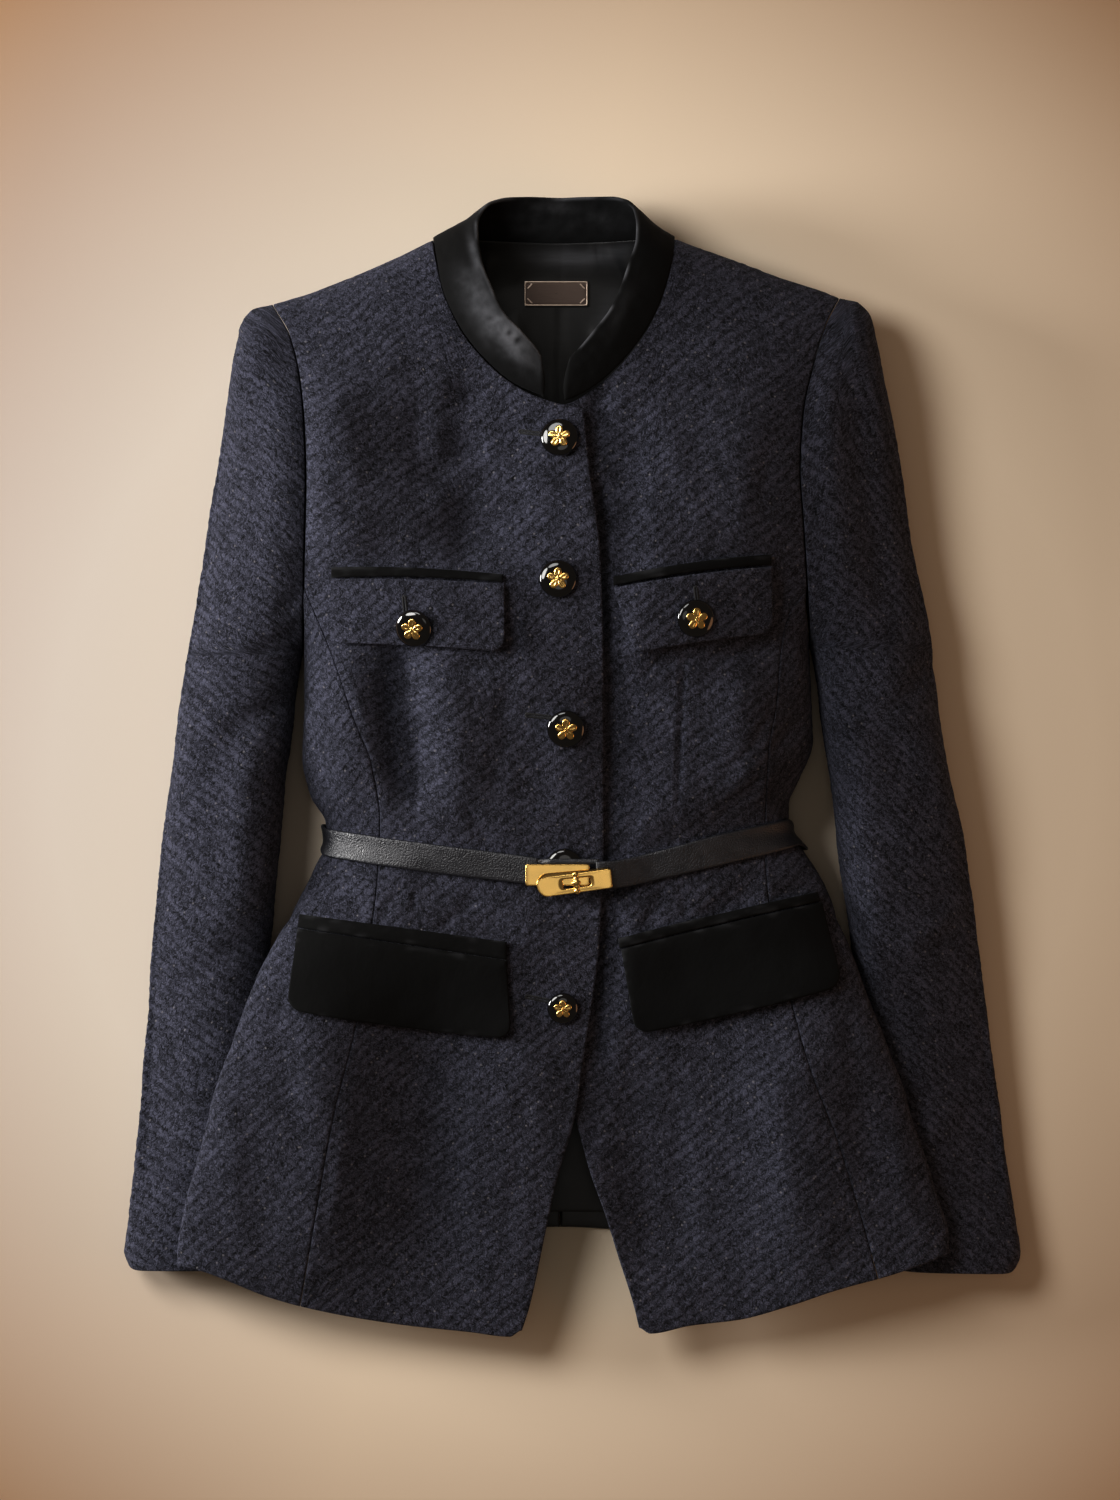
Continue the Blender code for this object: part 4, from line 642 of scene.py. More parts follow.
def tweed_relief(phase, along, seed):
    """How far the tweed stands out, in millimetres, about zero on average."""

    def bumps(yarn):
        return noise(phase * yarn.across, along * yarn.along, seed + yarn.seed)

    bent = phase + WALE_BEND * bumps(BENDS)
    in_wale = 2 * (bent - np.floor(bent)) - 1
    ridge = (1 - np.abs(in_wale) ** WALE_POWER) * (RIDGE_BASE + RIDGE_CHANGE * bumps(RIDGES))
    rough = KNOT_SHARE * bumps(KNOTS) + (1 - KNOT_SHARE) * bumps(SLUBS)
    return WALE_HEIGHT * (ridge - WALE_MEAN) + KNOT_HEIGHT * rough


# ---------------------------------------------------------------- meshes
EDGE_STEPS = (0, 0.4, 1.0, 1.8)  # distances from an edge, where the cloth rolls over
EDGE_ROLL = 0.42  # how far each face of the cloth comes in at its edge, as a share of the thickness
RELIEF_FADE = 3  # how far from an edge the weave has its full height


def spaced(length, step):
    """Shares along a strip of this length, a step apart and closer together at both ends."""
    count = max(3, int(round((length - 2 * EDGE_STEPS[-1]) / step)) + 1)
    middle = np.linspace(EDGE_STEPS[-1], length - EDGE_STEPS[-1], count)
    ends = np.array(EDGE_STEPS[:-1])
    return np.concatenate([ends, middle, length - ends[::-1]]) / length


def arc_lengths(points, axis):
    """Distances along the rows or columns of a grid, from their first points."""
    steps = np.linalg.norm(np.diff(points, axis=axis), axis=-1)
    shape = list(points.shape[:2])
    shape[axis] = 1
    return np.concatenate([np.zeros(shape), np.cumsum(steps, axis=axis)], axis=axis)


def edge_distance(points):
    """How far each point of a grid is from the grid's nearest edge."""
    across = arc_lengths(points, 1)
    down = arc_lengths(points, 0)
    across = np.minimum(across, across[:, -1:] - across)
    down = np.minimum(down, down[-1:] - down)
    return np.minimum(across, down)


def grid_quads(rows, columns):
    """Quads between the points of a grid."""
    start = (np.arange(rows - 1)[:, None] * columns + np.arange(columns - 1)).ravel()
    return np.stack([start, start + 1, start + columns + 1, start + columns], axis=-1)


def rim_ring(rows, columns):
    """The grid's outermost points, all the way round."""
    top = np.arange(columns)
    right = np.arange(1, rows) * columns + columns - 1
    bottom = (rows - 1) * columns + np.arange(columns - 2, -1, -1)
    left = np.arange(rows - 2, 0, -1) * columns
    return np.concatenate([top, right, bottom, left])


def mesh_piece(name, points, quads, looks, slots=None, uv=None, values=None):
    """An object from points in millimetres and quads, shaded smooth."""
    mesh = bpy.data.meshes.new(name)
    mesh.vertices.add(len(points))
    mesh.vertices.foreach_set("co", (points * MM).astype(np.float32).ravel())
    mesh.loops.add(quads.size)
    mesh.loops.foreach_set("vertex_index", quads.astype(np.int32).ravel())
    mesh.polygons.add(len(quads))
    mesh.polygons.foreach_set("loop_start", np.arange(0, quads.size, quads.shape[1], dtype=np.int32))
    if slots is not None:
        mesh.polygons.foreach_set("material_index", slots.astype(np.int32))
    mesh.update(calc_edges=True)
    mesh.shade_smooth()
    if uv is not None:
        layer = mesh.uv_layers.new(name="Yarn")
        layer.data.foreach_set("uv", uv[quads.ravel()].astype(np.float32).ravel())
    for key, value in (values or {}).items():
        attribute = mesh.attributes.new(key, "FLOAT", "POINT")
        attribute.data.foreach_set("value", value.astype(np.float32).ravel())
    for look in looks:
        mesh.materials.append(look)
    made = bpy.data.objects.new(name, mesh)
    bpy.context.scene.collection.objects.link(made)
    return made


def wall_piece(name, outer, normals, thick, looks, relief=0, uv=None, inset=SEAM_INSET, values=None):
    """A cloth wall with relief on its outer side and rounded edges, as a closed mesh."""
    rows, columns = outer.shape[:2]
    distance = edge_distance(outer)
    rolled = EDGE_ROLL * thick * (1 - np.sqrt(1 - np.clip(1 - distance / EDGE_STEPS[-1], 0, 1) ** 2))
    inner = outer - normals * thick
    outer = outer + normals * (relief * ease(distance / RELIEF_FADE) - rolled)[..., None]
    inner = inner + normals * rolled[..., None]
    for grid in (outer, inner):
        inset_edges(grid, inset)
        grid[..., 2] = np.maximum(grid[..., 2], 0)
    points = np.concatenate([outer.reshape(-1, 3), inner.reshape(-1, 3)])
    quads = grid_quads(rows, columns)
    half = rows * columns
    ring = rim_ring(rows, columns)
    follow = np.roll(ring, -1)
    rim = np.stack([follow, ring, ring + half, follow + half], axis=-1)
    everything = np.concatenate([quads, quads[:, ::-1] + half, rim])
    sample = quads[len(quads) // 2]
    a, b, _, d = points[sample]
    if np.dot(np.cross(b - a, d - a), normals.reshape(-1, 3)[sample[0]]) < 0:
        everything = everything[:, ::-1]
    slots = np.zeros(len(everything))
    if len(looks) > 1:
        slots[len(quads) : 2 * len(quads)] = 1
    if uv is not None:
        uv = np.concatenate([uv.reshape(-1, 2)] * 2)
    given = {key: np.concatenate([value.ravel()] * 2) for key, value in (values or {}).items()}
    return mesh_piece(name, points, everything, looks, slots, uv, given)


def inset_edges(grid, amount):
    """Draws the grid's four edges in by this much, towards the next row or column."""
    for lines in (grid, grid.swapaxes(0, 1)):
        for edge, next_one in ((0, 1), (-1, -2)):
            step = lines[next_one] - lines[edge]
            lines[edge] += amount * step / np.maximum(np.linalg.norm(step, axis=-1, keepdims=True), TINY)


def cloth_uv(points, wrapped):
    """(u, v) in millimetres. U runs along the cloth from its first column, or is x if the cloth lies flat.

    V runs up from the hem.
    """
    flat_x = points[..., 0]
    u = flat_x
    if wrapped:
        steps = np.hypot(np.diff(points[..., 0], axis=1), np.diff(points[..., 2], axis=1))
        middle = len(points) // 2
        direction = np.sign(flat_x[middle, len(EDGE_STEPS)] - flat_x[middle, 0])
        zero = np.zeros((len(points), 1))
        u = flat_x[:, :1] + direction * np.concatenate([zero, np.cumsum(steps, axis=1)], axis=1)
    steps = np.hypot(np.diff(points[..., 1], axis=0), np.diff(points[..., 2], axis=0))
    down = np.concatenate([np.zeros((1, points.shape[1])), np.cumsum(steps, axis=0)])
    return u, points[-1:, :, 1] + down[-1:] - down


def tweed_piece(name, points, normals, wrapped=False, lining=True, thick=TWEED):
    """A tweed panel with its weave, from its outer surface."""
    cloth = CLOTHS[name]
    u, v = cloth_uv(points, wrapped)
    phase, along = yarn_coordinates(u, v, cloth)
    relief = cloth.loft * tweed_relief(phase, along, cloth.seed)
    looks = [MATERIALS["tweed"], MATERIALS["satin"]] if lining else [MATERIALS["tweed"]]
    yarn = np.stack([phase, along], axis=-1)
    made = wall_piece(name + "_cloth", points, normals, thick, looks, relief, yarn)
    finish_cloth(made, name, points)


def piled_piece(name, node, slot, points, normals, thick, brush, inset):
    """A piece of velvet or satin, with how much sheen is painted on its surface at each point."""
    made = wall_piece(name, points, normals, thick, [MATERIALS[slot]], inset=inset, values={"brush": brush})
    finish_cloth(made, node, points)


def cloth_sizes(points):
    """(width, length, area) of a grid's surface, in metres."""
    width = float(arc_lengths(points, 1)[:, -1].max()) * MM
    length = float(arc_lengths(points, 0)[-1].max()) * MM
    side = points[1:, :-1] - points[:-1, :-1]
    across = points[:-1, 1:] - points[:-1, :-1]
    area = float(np.linalg.norm(np.cross(side, across), axis=-1).sum()) * MM * MM
    return width, length, area


# ---------------------------------------------------------------- ties to the solids
BODIES = (frame["record"].get("behaviour") or {}).get("bodies") or {"root": sorted(frame["nodes"])}
LEAST_CUT = 0.01  # a cut this narrow includes its turned-in edge


def body_of(node):
    """The moving or resting body that a solid belongs to."""
    return next(name for name, members in BODIES.items() if node in members)


def hard_piece(made, node):
    """Ties a piece to the solid that it stands for."""
    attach(made, body_of(node))
    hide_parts(node)


def finish_cloth(made, node, points):
    """Ties a cloth piece to its solid and works out the size that it was cut to."""
    hard_piece(made, node)
    width, length, area = cloth_sizes(points)
    length = max(length, LEAST_CUT)


# ---------------------------------------------------------------- materials
# Linear red, green and blue, and full cover
TWEED_DARK = (0.009, 0.009, 0.010, 1)
TWEED_TIP = (0.112, 0.115, 0.160, 1)
TWEED_NEP = (0.24, 0.23, 0.25, 1)
VELVET_DARK = (0.0085, 0.0085, 0.0086, 1)
VELVET_PAINTED_SHEEN = (0.19, 0.195, 0.215, 1)
SATIN_DARK = (0.010, 0.0104, 0.0112, 1)
SATIN_PALE = (0.022, 0.0228, 0.0248, 1)
# the satin's painted highlight
SATIN_LIT = (0.17, 0.175, 0.195, 1)
LEATHER_DARK = (0.010, 0.011, 0.016, 1)
LEATHER_WORN = (0.026, 0.027, 0.035, 1)
GLOSS_DARK = (0.0015, 0.0015, 0.002, 1)
GLOSS_SMEARED = (0.004, 0.004, 0.005, 1)
GOLD_DEEP = (0.80, 0.52, 0.17, 1)
GOLD_BRIGHT = (0.95, 0.68, 0.27, 1)
ROSY_DARK = (0.60, 0.48, 0.40, 1)
ROSY_PALE = (0.82, 0.70, 0.60, 1)
BRONZE_DARK = (0.12, 0.090, 0.078, 1)
BRONZE_PALE = (0.19, 0.145, 0.125, 1)
THREAD_DARK = (0.002, 0.002, 0.003, 1)
THREAD_PALE = (0.012, 0.012, 0.016, 1)
FLOOR_NEAR = (0.64, 0.583, 0.542, 1)
FLOOR_FAR = (0.97, 0.85, 0.69, 1)
# painted shade for the floor's far corners
FLOOR_CORNER_SHADE = (0.42, 0.262, 0.153, 1)


class Graph:
    """Short ways to build one material's nodes."""

    def __init__(self, name, **constants):
        self.material = bpy.data.materials.new(name)
        self.material.use_nodes = True
        self.tree = self.material.node_tree
        self.shader = self.tree.nodes["Principled BSDF"]
        for key, value in constants.items():
            self.shader.inputs[key.replace("_", " ")].default_value = value

    def put(self, socket, value):
        if isinstance(value, bpy.types.NodeSocket):
            self.tree.links.new(value, socket)
        else:
            socket.default_value = value

    def node(self, kind, inputs=None, output=0, **settings):
        made = self.tree.nodes.new("ShaderNode" + kind)
        for key, value in settings.items():
            setattr(made, key, value)
        for key, value in (inputs or {}).items():
            self.put(made.inputs[key], value)
        return made.outputs[output]

    def math(self, operation, a, b=0.0, c=0.0, clamp=False):
        return self.node("Math", {0: a, 1: b, 2: c}, operation=operation, use_clamp=clamp)

    def mix(self, share, a, b):
        """A colour between a and b."""
        return self.node("Mix", {0: share, 6: a, 7: b}, output=2, data_type="RGBA")

    def between(self, value, low, high, to_low=0.0, to_high=1.0):
        inputs = {"Value": value, "From Min": low, "From Max": high, "To Min": to_low, "To Max": to_high}
        return self.node("MapRange", inputs)

    def noise(self, vector, scale, detail=2.0, roughness=0.5):
        inputs = {"Vector": vector, "Scale": scale, "Detail": detail, "Roughness": roughness}
        return self.node("TexNoise", inputs)

    def stretch(self, vector, x, y, z=1.0):
        return self.node("Mapping", {"Vector": vector, "Scale": (x, y, z)})

    def bump(self, height, distance, strength):
        return self.node("Bump", {"Strength": strength, "Distance": distance, "Height": height})

    def apart(self, vector):
        """The X, Y and Z of a vector."""
        made = self.tree.nodes.new("ShaderNodeSeparateXYZ")
        self.put(made.inputs[0], vector)
        return made.outputs

    def cells(self, vector):
        """Flat cells: how far each point is from its cell's middle, and a random number for each cell."""
        made = self.tree.nodes.new("ShaderNodeTexVoronoi")
        made.voronoi_dimensions = "2D"
        self.put(made.inputs["Vector"], vector)
        self.put(made.inputs["Scale"], 1.0)
        return made.outputs["Distance"], self.node("SeparateColor", {0: made.outputs["Color"]})

    def place(self):
        """Where the surface is, in metres."""
        return self.node("TexCoord", output="Object")

    def value(self, name):
        return self.node("Attribute", output="Fac", attribute_name=name)

    def shade(self, **inputs):
        for key, value in inputs.items():
            self.put(self.shader.inputs[key.replace("_", " ")], value)
        return self.material


def tweed_material():
    """Bouclé tweed: soft diagonal wales of small loops, with a few pale neps. It is dark between the loops,
    partly from its dark ground yarn and partly as painted shade in the hollows.
    """
    g = Graph("tweed", Roughness=0.9, Specular_IOR_Level=0.1, Sheen_Weight=0.1, Sheen_Roughness=0.5)
    g.shader.inputs["Sheen Tint"].default_value = (0.7, 0.75, 1.0, 1)
    yarn = g.node("UVMap", uv_map="Yarn")
    wobble = g.noise(yarn, 1.4, 2.0)
    phase = g.math("MULTIPLY_ADD", wobble, 0.7, g.math("ADD", g.apart(yarn)[0], -0.35))
    in_wale = g.math("ABSOLUTE", g.math("MULTIPLY_ADD", g.math("FRACT", phase), 2.0, -1.0))
    ridge = g.math("SUBTRACT", 1.0, g.math("POWER", in_wale, 2.0))
    bent = g.node("VectorMath", {0: yarn, 1: g.node("TexNoise", {"Vector": yarn, "Scale": 2.6}, output=1)})
    from_middle, each = g.cells(g.stretch(bent, 5.4, 4.4))
    loop = g.between(from_middle, 0.1, 0.75, 1.0, 0.0)
    fine = g.noise(yarn, 18.0, 3.0, 0.7)
    broken = g.between(g.noise(g.stretch(yarn, 0.5, 0.35), 1.0, 2.0), 0.3, 0.7, 0.1, 0.4)
    loose = g.math("MULTIPLY_ADD", loop, 0.55, g.math("MULTIPLY", fine, 0.6))
    height = g.math("MULTIPLY_ADD", ridge, broken, loose)
    # The loops' tips are paler than the hollows: the dark ground yarn, and painted shade in the hollows.
    tip = g.math("MULTIPLY", g.between(height, 0.35, 1.15), g.between(each, 0.0, 1.0, 0.35, 1.6))
    patches = g.noise(yarn, 0.16, 3.0)
    tone = g.math("MULTIPLY", tip, g.between(patches, 0.3, 0.7, 0.92, 1.06))
    colour = g.mix(g.math("MULTIPLY", tone, 1.0, clamp=True), TWEED_DARK, TWEED_TIP)
    from_nep, every_cell = g.cells(g.stretch(yarn, 0.9, 0.9))
    kept = g.math("LESS_THAN", every_cell, 0.16)
    near = g.between(from_nep, 0.05, 0.13, 1.0, 0.0)
    colour = g.mix(g.math("MULTIPLY", g.math("MULTIPLY", kept, near), 0.7), colour, TWEED_NEP)
    return g.shade(Base_Color=colour, Normal=g.bump(height, 0.0009, 1.0))


def velvet_material():
    """Black velvet, paler in streaks where a sheen is painted on it."""
    g = Graph("velvet", Roughness=0.85, Specular_IOR_Level=0.1, Sheen_Weight=0.12, Sheen_Roughness=0.3)
    g.shader.inputs["Sheen Tint"].default_value = (0.8, 0.82, 0.9, 1)
    place = g.place()
    pile = g.noise(place, 900.0, 3.0)
    streaks = g.noise(g.stretch(place, 110.0, 110.0, 110.0), 1.0, 3.0, 0.6)
    # Painted sheen: each piece's value, broken into streaks.
    sheen_shown = g.math("MULTIPLY", g.value("brush"), g.between(streaks, 0.2, 0.8, 0.55, 1.1), clamp=True)
    colour = g.mix(sheen_shown, VELVET_DARK, VELVET_PAINTED_SHEEN)
    normal = g.bump(g.math("MULTIPLY_ADD", streaks, 0.6, g.math("MULTIPLY", pile, 0.12)), 0.0012, 0.6)
    return g.shade(Base_Color=colour, Normal=normal)


def satin_material():
    """Black satin in soft random tones, with a painted highlight in streaks where its sheen value is given.
    """
    g = Graph("satin", Roughness=0.36, Specular_IOR_Level=0.5)
    place = g.place()
    threads = {"Vector": place, "Scale": 600.0, "Distortion": 0.6}
    weave = g.node("TexWave", threads, bands_direction="DIAGONAL")
    soft = g.noise(place, 34.0, 3.0)
    height = g.math("MULTIPLY_ADD", soft, 1.0, g.math("MULTIPLY", weave, 0.02))
    colour = g.mix(soft, SATIN_DARK, SATIN_PALE)
    streaks = g.noise(g.stretch(place, 40.0, 260.0), 1.0, 3.0)
    # Painted highlight: the piece's sheen value, in streaks.
    lit = g.math("MULTIPLY", g.value("brush"), g.between(streaks, 0.25, 0.75, 0.5, 1.0))
    colour = g.mix(lit, colour, SATIN_LIT)
    return g.shade(Base_Color=colour, Normal=g.bump(height, 0.0016, 0.35))


def leather_material():
    """Fine pebbled leather, a little worn in broad patches."""
    g = Graph("leather", Specular_IOR_Level=0.8)
    place = g.place()
    pebbles = g.node("TexVoronoi", {"Vector": place, "Scale": 1050.0, "Smoothness": 0.4}, feature="SMOOTH_F1")
    broad = g.noise(place, 120.0, 3.0)
    height = g.math("MULTIPLY_ADD", pebbles, -0.8, g.math("MULTIPLY", broad, 0.3))
    colour = g.mix(broad, LEATHER_DARK, LEATHER_WORN)
    rough = g.between(broad, 0.3, 0.7, 0.34, 0.5)
    return g.shade(Base_Color=colour, Roughness=rough, Normal=g.bump(height, 0.0005, 0.8))


def gloss_material():
    """The buttons' black gloss, faintly smeared."""
    g = Graph("gloss", Specular_IOR_Level=0.5, Coat_Weight=1.0, Coat_Roughness=0.03)
    place = g.place()
    smears = g.noise(place, 160.0, 3.0)
    rough = g.between(smears, 0.3, 0.8, 0.05, 0.16)
    colour = g.mix(smears, GLOSS_DARK, GLOSS_SMEARED)
    return g.shade(Base_Color=colour, Roughness=rough)


def gold_material():
    """Polished gold with fine scratches."""
    g = Graph("gold", Metallic=1.0)
    place = g.place()
    smears = g.noise(place, 90.0, 3.0)
    colour = g.mix(smears, GOLD_DEEP, GOLD_BRIGHT)
    rough = g.between(smears, 0.3, 0.8, 0.16, 0.26)
    scratches = g.noise(g.stretch(place, 300.0, 2600.0, 300.0), 1.0, 2.0)
    return g.shade(Base_Color=colour, Roughness=rough, Normal=g.bump(scratches, 0.00001, 0.2))


def pale_bronze_material():
    """The label's thin frame: a dull rosy metal."""
    g = Graph("pale_bronze", Metallic=1.0, Roughness=0.34)
    grain = g.noise(g.place(), 300.0, 3.0)
    colour = g.mix(grain, ROSY_DARK, ROSY_PALE)
    return g.shade(Base_Color=colour)


def bronze_material():
    """The label's plate: dark bronze, brushed along its length."""
    g = Graph("bronze", Metallic=0.85)
    place = g.place()
    grain = g.noise(g.stretch(place, 120.0, 1500.0, 300.0), 1.0, 3.0)
    colour = g.mix(grain, BRONZE_DARK, BRONZE_PALE)
    return g.shade(Base_Color=colour, Roughness=g.between(grain, 0.2, 0.8, 0.42, 0.6))


def thread_material():
    """The buttonholes' black twisted thread."""
    g = Graph("thread", Roughness=0.6, Specular_IOR_Level=0.4, Sheen_Weight=0.3)
    place = g.place()
    twist = g.noise(place, 1800.0, 2.0)
    colour = g.mix(twist, THREAD_DARK, THREAD_PALE)
    return g.shade(Base_Color=colour, Normal=g.bump(twist, 0.0002, 0.8))


def floor_material():
    """Smooth warm paper with painted light and shade: graded across, and a little darker towards its far
    edges.
    """
    g = Graph("floor", Roughness=0.85, Specular_IOR_Level=0.2)
    place = g.place()
    mottle = g.noise(place, 3.0, 4.0)
    grain = g.noise(place, 900.0, 2.0)
    x, y, _ = g.apart(place)
    across = g.math("POWER", x, 2.0)
    along = g.math("POWER", y, 2.0)
    # Painted shade: darker towards the far corners.
    away = g.math("MULTIPLY_ADD", g.math("ADD", across, along), 3.6, -0.43)
    away = g.math("MULTIPLY_ADD", mottle, 0.05, away)
    # Painted light and shade: the colour is graded across the floor.
    turned = g.math("MULTIPLY_ADD", y, -0.56, 1.15)
    turned = g.math("MULTIPLY_ADD", x, 2.7, turned)
    colour = g.mix(g.between(turned, 0.0, 1.0), FLOOR_NEAR, FLOOR_FAR)
    colour = g.mix(g.between(away, 0.0, 1.0), colour, FLOOR_CORNER_SHADE)
    return g.shade(Base_Color=colour, Normal=g.bump(grain, 0.0001, 0.3))


MATERIALS = {
    "tweed": tweed_material(),
    "velvet": velvet_material(),
    "satin": satin_material(),
    "leather": leather_material(),
    "gloss": gloss_material(),
    "gold": gold_material(),
    "bronze": bronze_material(),
    "pale_bronze": pale_bronze_material(),
    "thread": thread_material(),
    "floor": floor_material(),
}


# ---------------------------------------------------------------- fine folds
# Creases that the solids leave out, most of them narrower than the solids' folds. The hidden sides are
# creased like the ones in sight.
FRONT_CREASES = (
    Fold(-115, 78, -102, -36, 12, -5.0),
    Fold(-104, 68, -97, -24, 3.5, 1.2),
    Fold(-100, 71, -101, -44, 2.0, -1.3),
    Fold(-101, -80, -101, -92, 2.0, -1.0),
    Fold(71, 74, 67, -25, 2.0, -1.4),
    Fold(69, -76, 72, -95, 2.0, -1.1),
    Fold(-156, 67, -50, 61, 5.0, -2.6),
    Fold(-36, 112, -37, 70, 4.5, -2.2),
    Fold(44, 64, 128, 76, 4.5, -2.4),
    Fold(135, 122, 135, 84, 4.0, -2.0),
    Fold(-78, 256, -72, 130, 44, -7.0),
    Fold(-168, 250, -162, 140, 16, 3.0),
    Fold(-146, 66, -126, -30, 9, 2.2),
    Fold(-100, -185, -96, -300, 16, -2.6),
    Fold(-150, -190, -154, -290, 12, 1.8),
    Fold(-158, 40, -118, 8, 5, -1.6),
    Fold(-160, 6, -128, -14, 5, -1.8),
    Fold(-150, -20, -120, -40, 4, -1.5),
    Fold(-70, -24, -52, -52, 5, -1.3),
    Fold(-110, -80, -128, -100, 4, -1.4),
    Fold(-60, -82, -86, -106, 5, -1.3),
    Fold(-152, 205, -140, 150, 7, -1.5),
    Fold(-60, 225, -80, 160, 9, 1.3),
    Fold(-40, 60, -52, -20, 7, -1.3),
    Fold(-150, -190, -166, -290, 9, -1.6),
    Fold(-60, -190, -64, -300, 10, 1.4),
    Fold(-30, -200, -44, -320, 8, -1.2),
    Fold(126, 205, 118, 150, 7, -1.5),
    Fold(60, 215, 84, 150, 9, 1.3),
    Fold(130, 30, 96, -8, 5, -1.6),
    Fold(128, -2, 92, -34, 5, -1.6),
    Fold(46, -20, 34, -50, 5, -1.2),
    Fold(60, -80, 44, -104, 5, -1.4),
    Fold(104, -84, 126, -108, 5, -1.3),
    Fold(66, -190, 72, -310, 9, -1.5),
    Fold(128, -196, 142, -300, 9, 1.4),
)
# The right front's hollows beside the edge of the left front that lies on it
UNDER_EDGE_CREASES = (
    Fold(16, 244, 20, 130, 9, -4.5),
    Fold(34, 240, 30, 150, 14, -2.5),
    Fold(23, 140, 25, -50, 6, -3.0),
    Fold(24, -84, 16, -200, 6, -3.0),
)
SIDE_CREASES = (
    Fold(-168, 20, -130, -10, 5, -1.6),
    Fold(-166, -6, -126, -30, 5, -1.8),
    Fold(-168, -74, -132, -92, 5, -1.8),
    Fold(-186, -96, -140, -120, 7, -1.6),
    Fold(-190, -150, -170, -260, 9, -1.8),
    Fold(-222, -190, -214, -300, 9, 1.6),
    Fold(148, 30, 112, 0, 5, -1.6),
    Fold(146, -4, 108, -26, 5, -1.6),
    Fold(156, -70, 124, -88, 5, -1.8),
    Fold(172, -96, 132, -116, 7, -1.6),
    Fold(176, -150, 190, -260, 9, -1.8),
    Fold(206, -190, 214, -290, 9, 1.6),
)
BACK_CREASES = (
    Fold(-120, 20, -60, 0, 8, -1.4),
    Fold(110, 20, 50, 2, 8, -1.4),
    Fold(-100, -70, -50, -90, 8, 1.4),
    Fold(90, -70, 40, -92, 8, 1.4),
    Fold(-60, 240, -70, 120, 10, 1.4),
    Fold(60, 240, 66, 120, 10, 1.4),
    Fold(-90, -160, -100, -280, 12, 1.5),
    Fold(80, -160, 96, -280, 12, 1.5),
)
SLEEVE_CREASES = (
    Fold(-150, 120, -190, 96, 6, -2.0),
    Fold(-164, 92, -206, 70, 6, -2.2),
    Fold(-176, 46, -226, 18, 7, -1.8),
    Fold(-246, 60, -212, 20, 6, -1.6),
    Fold(-190, -10, -240, -40, 8, -1.6),
    Fold(-256, -40, -224, -84, 7, 1.5),
    Fold(-206, -110, -256, -140, 9, -1.4),
    Fold(-262, -190, -230, -230, 9, 1.4),
    Fold(-212, -250, -262, -276, 9, -1.3),
    Fold(132, 126, 176, 98, 6, -2.0),
    Fold(146, 96, 196, 66, 6, -2.2),
    Fold(164, 40, 214, 10, 7, -1.8),
    Fold(234, 70, 200, 30, 6, -1.6),
    Fold(180, -40, 236, -66, 8, -1.8),
    Fold(246, -90, 208, -120, 8, 1.5),
    Fold(192, -150, 246, -180, 9, -1.6),
    Fold(262, -200, 222, -240, 9, 1.4),
    Fold(204, -270, 250, -292, 9, -1.3),
)


UNEVENNESS = Waves(0.5, 17, 17, 0)  # of the creases' height
BROAD_SWELL = Waves(0.4, 31, 31, 7)
SMALL_SWELL = Waves(0.1, 13, 13, 9)
CREASE_FADE = 9  # how far from a panel's edge the creases have their full height


def creased(points, normals, creases, seed):
    """Moves a grid by its creases and by a faint uneven swell."""
    x = points[..., 0]
    y = points[..., 1]
    uneven = 1 + waves(UNEVENNESS, x, y, seed)
    swell = waves(BROAD_SWELL, x, y, seed) + waves(SMALL_SWELL, x, y, seed)
    away = ease(edge_distance(points) / CREASE_FADE)
    return points + normals * ((fold_height(creases, x, y) * uneven + swell) * away)[..., None]


# ---------------------------------------------------------------- body panels
UNDERLAP = TWEED + 1.2  # how far the right front lies below the left one
UNDERLAP_START = 3  # past the left front's edge, where it begins to rise
UNDERLAP_EASE = 22
PANEL_STEP = 1.9
BACK_STEP = 4.0
TOP_SAMPLES = 300
HEM_GUESS = -330
HEM_ROUNDS = 6  # of finding the hem's height at each column
TOP_STEPS = (0, 0.03, 0.15, 0.5, 1.0, 1.7, 2.6, 3.7, 5.0, 6.6, 8.4)  # millimetres below a shoulder seam


def rows_down(length, step):
    """Shares down a panel, close together below its top edge and above its hem."""
    middle = np.arange(TOP_STEPS[-1] + step, length - EDGE_STEPS[-1] - step / 2, step)
    ends = length - np.array(EDGE_STEPS[::-1])
    return np.concatenate([TOP_STEPS, middle, ends])[:, None] / length


def top_edge(neck, shoulder_x):
    """Points along a panel's neckline and then its shoulder seam."""
    first = shoulder_x[0]
    knots = np.array([*neck, (first, float(y_at(SHOULDER, first)))], float)
    along = np.concatenate([[0], np.cumsum(np.linalg.norm(np.diff(knots, axis=0), axis=1))])
    at = np.linspace(0, along[-1], TOP_SAMPLES)
    neckline = np.stack([smooth(at, along, knots[:, 0]), smooth(at, along, knots[:, 1])], axis=-1)
    x = np.linspace(first, shoulder_x[-1], TOP_SAMPLES)[1:]
    return np.concatenate([neckline, np.stack([x, y_at(SHOULDER, x)], axis=-1)])


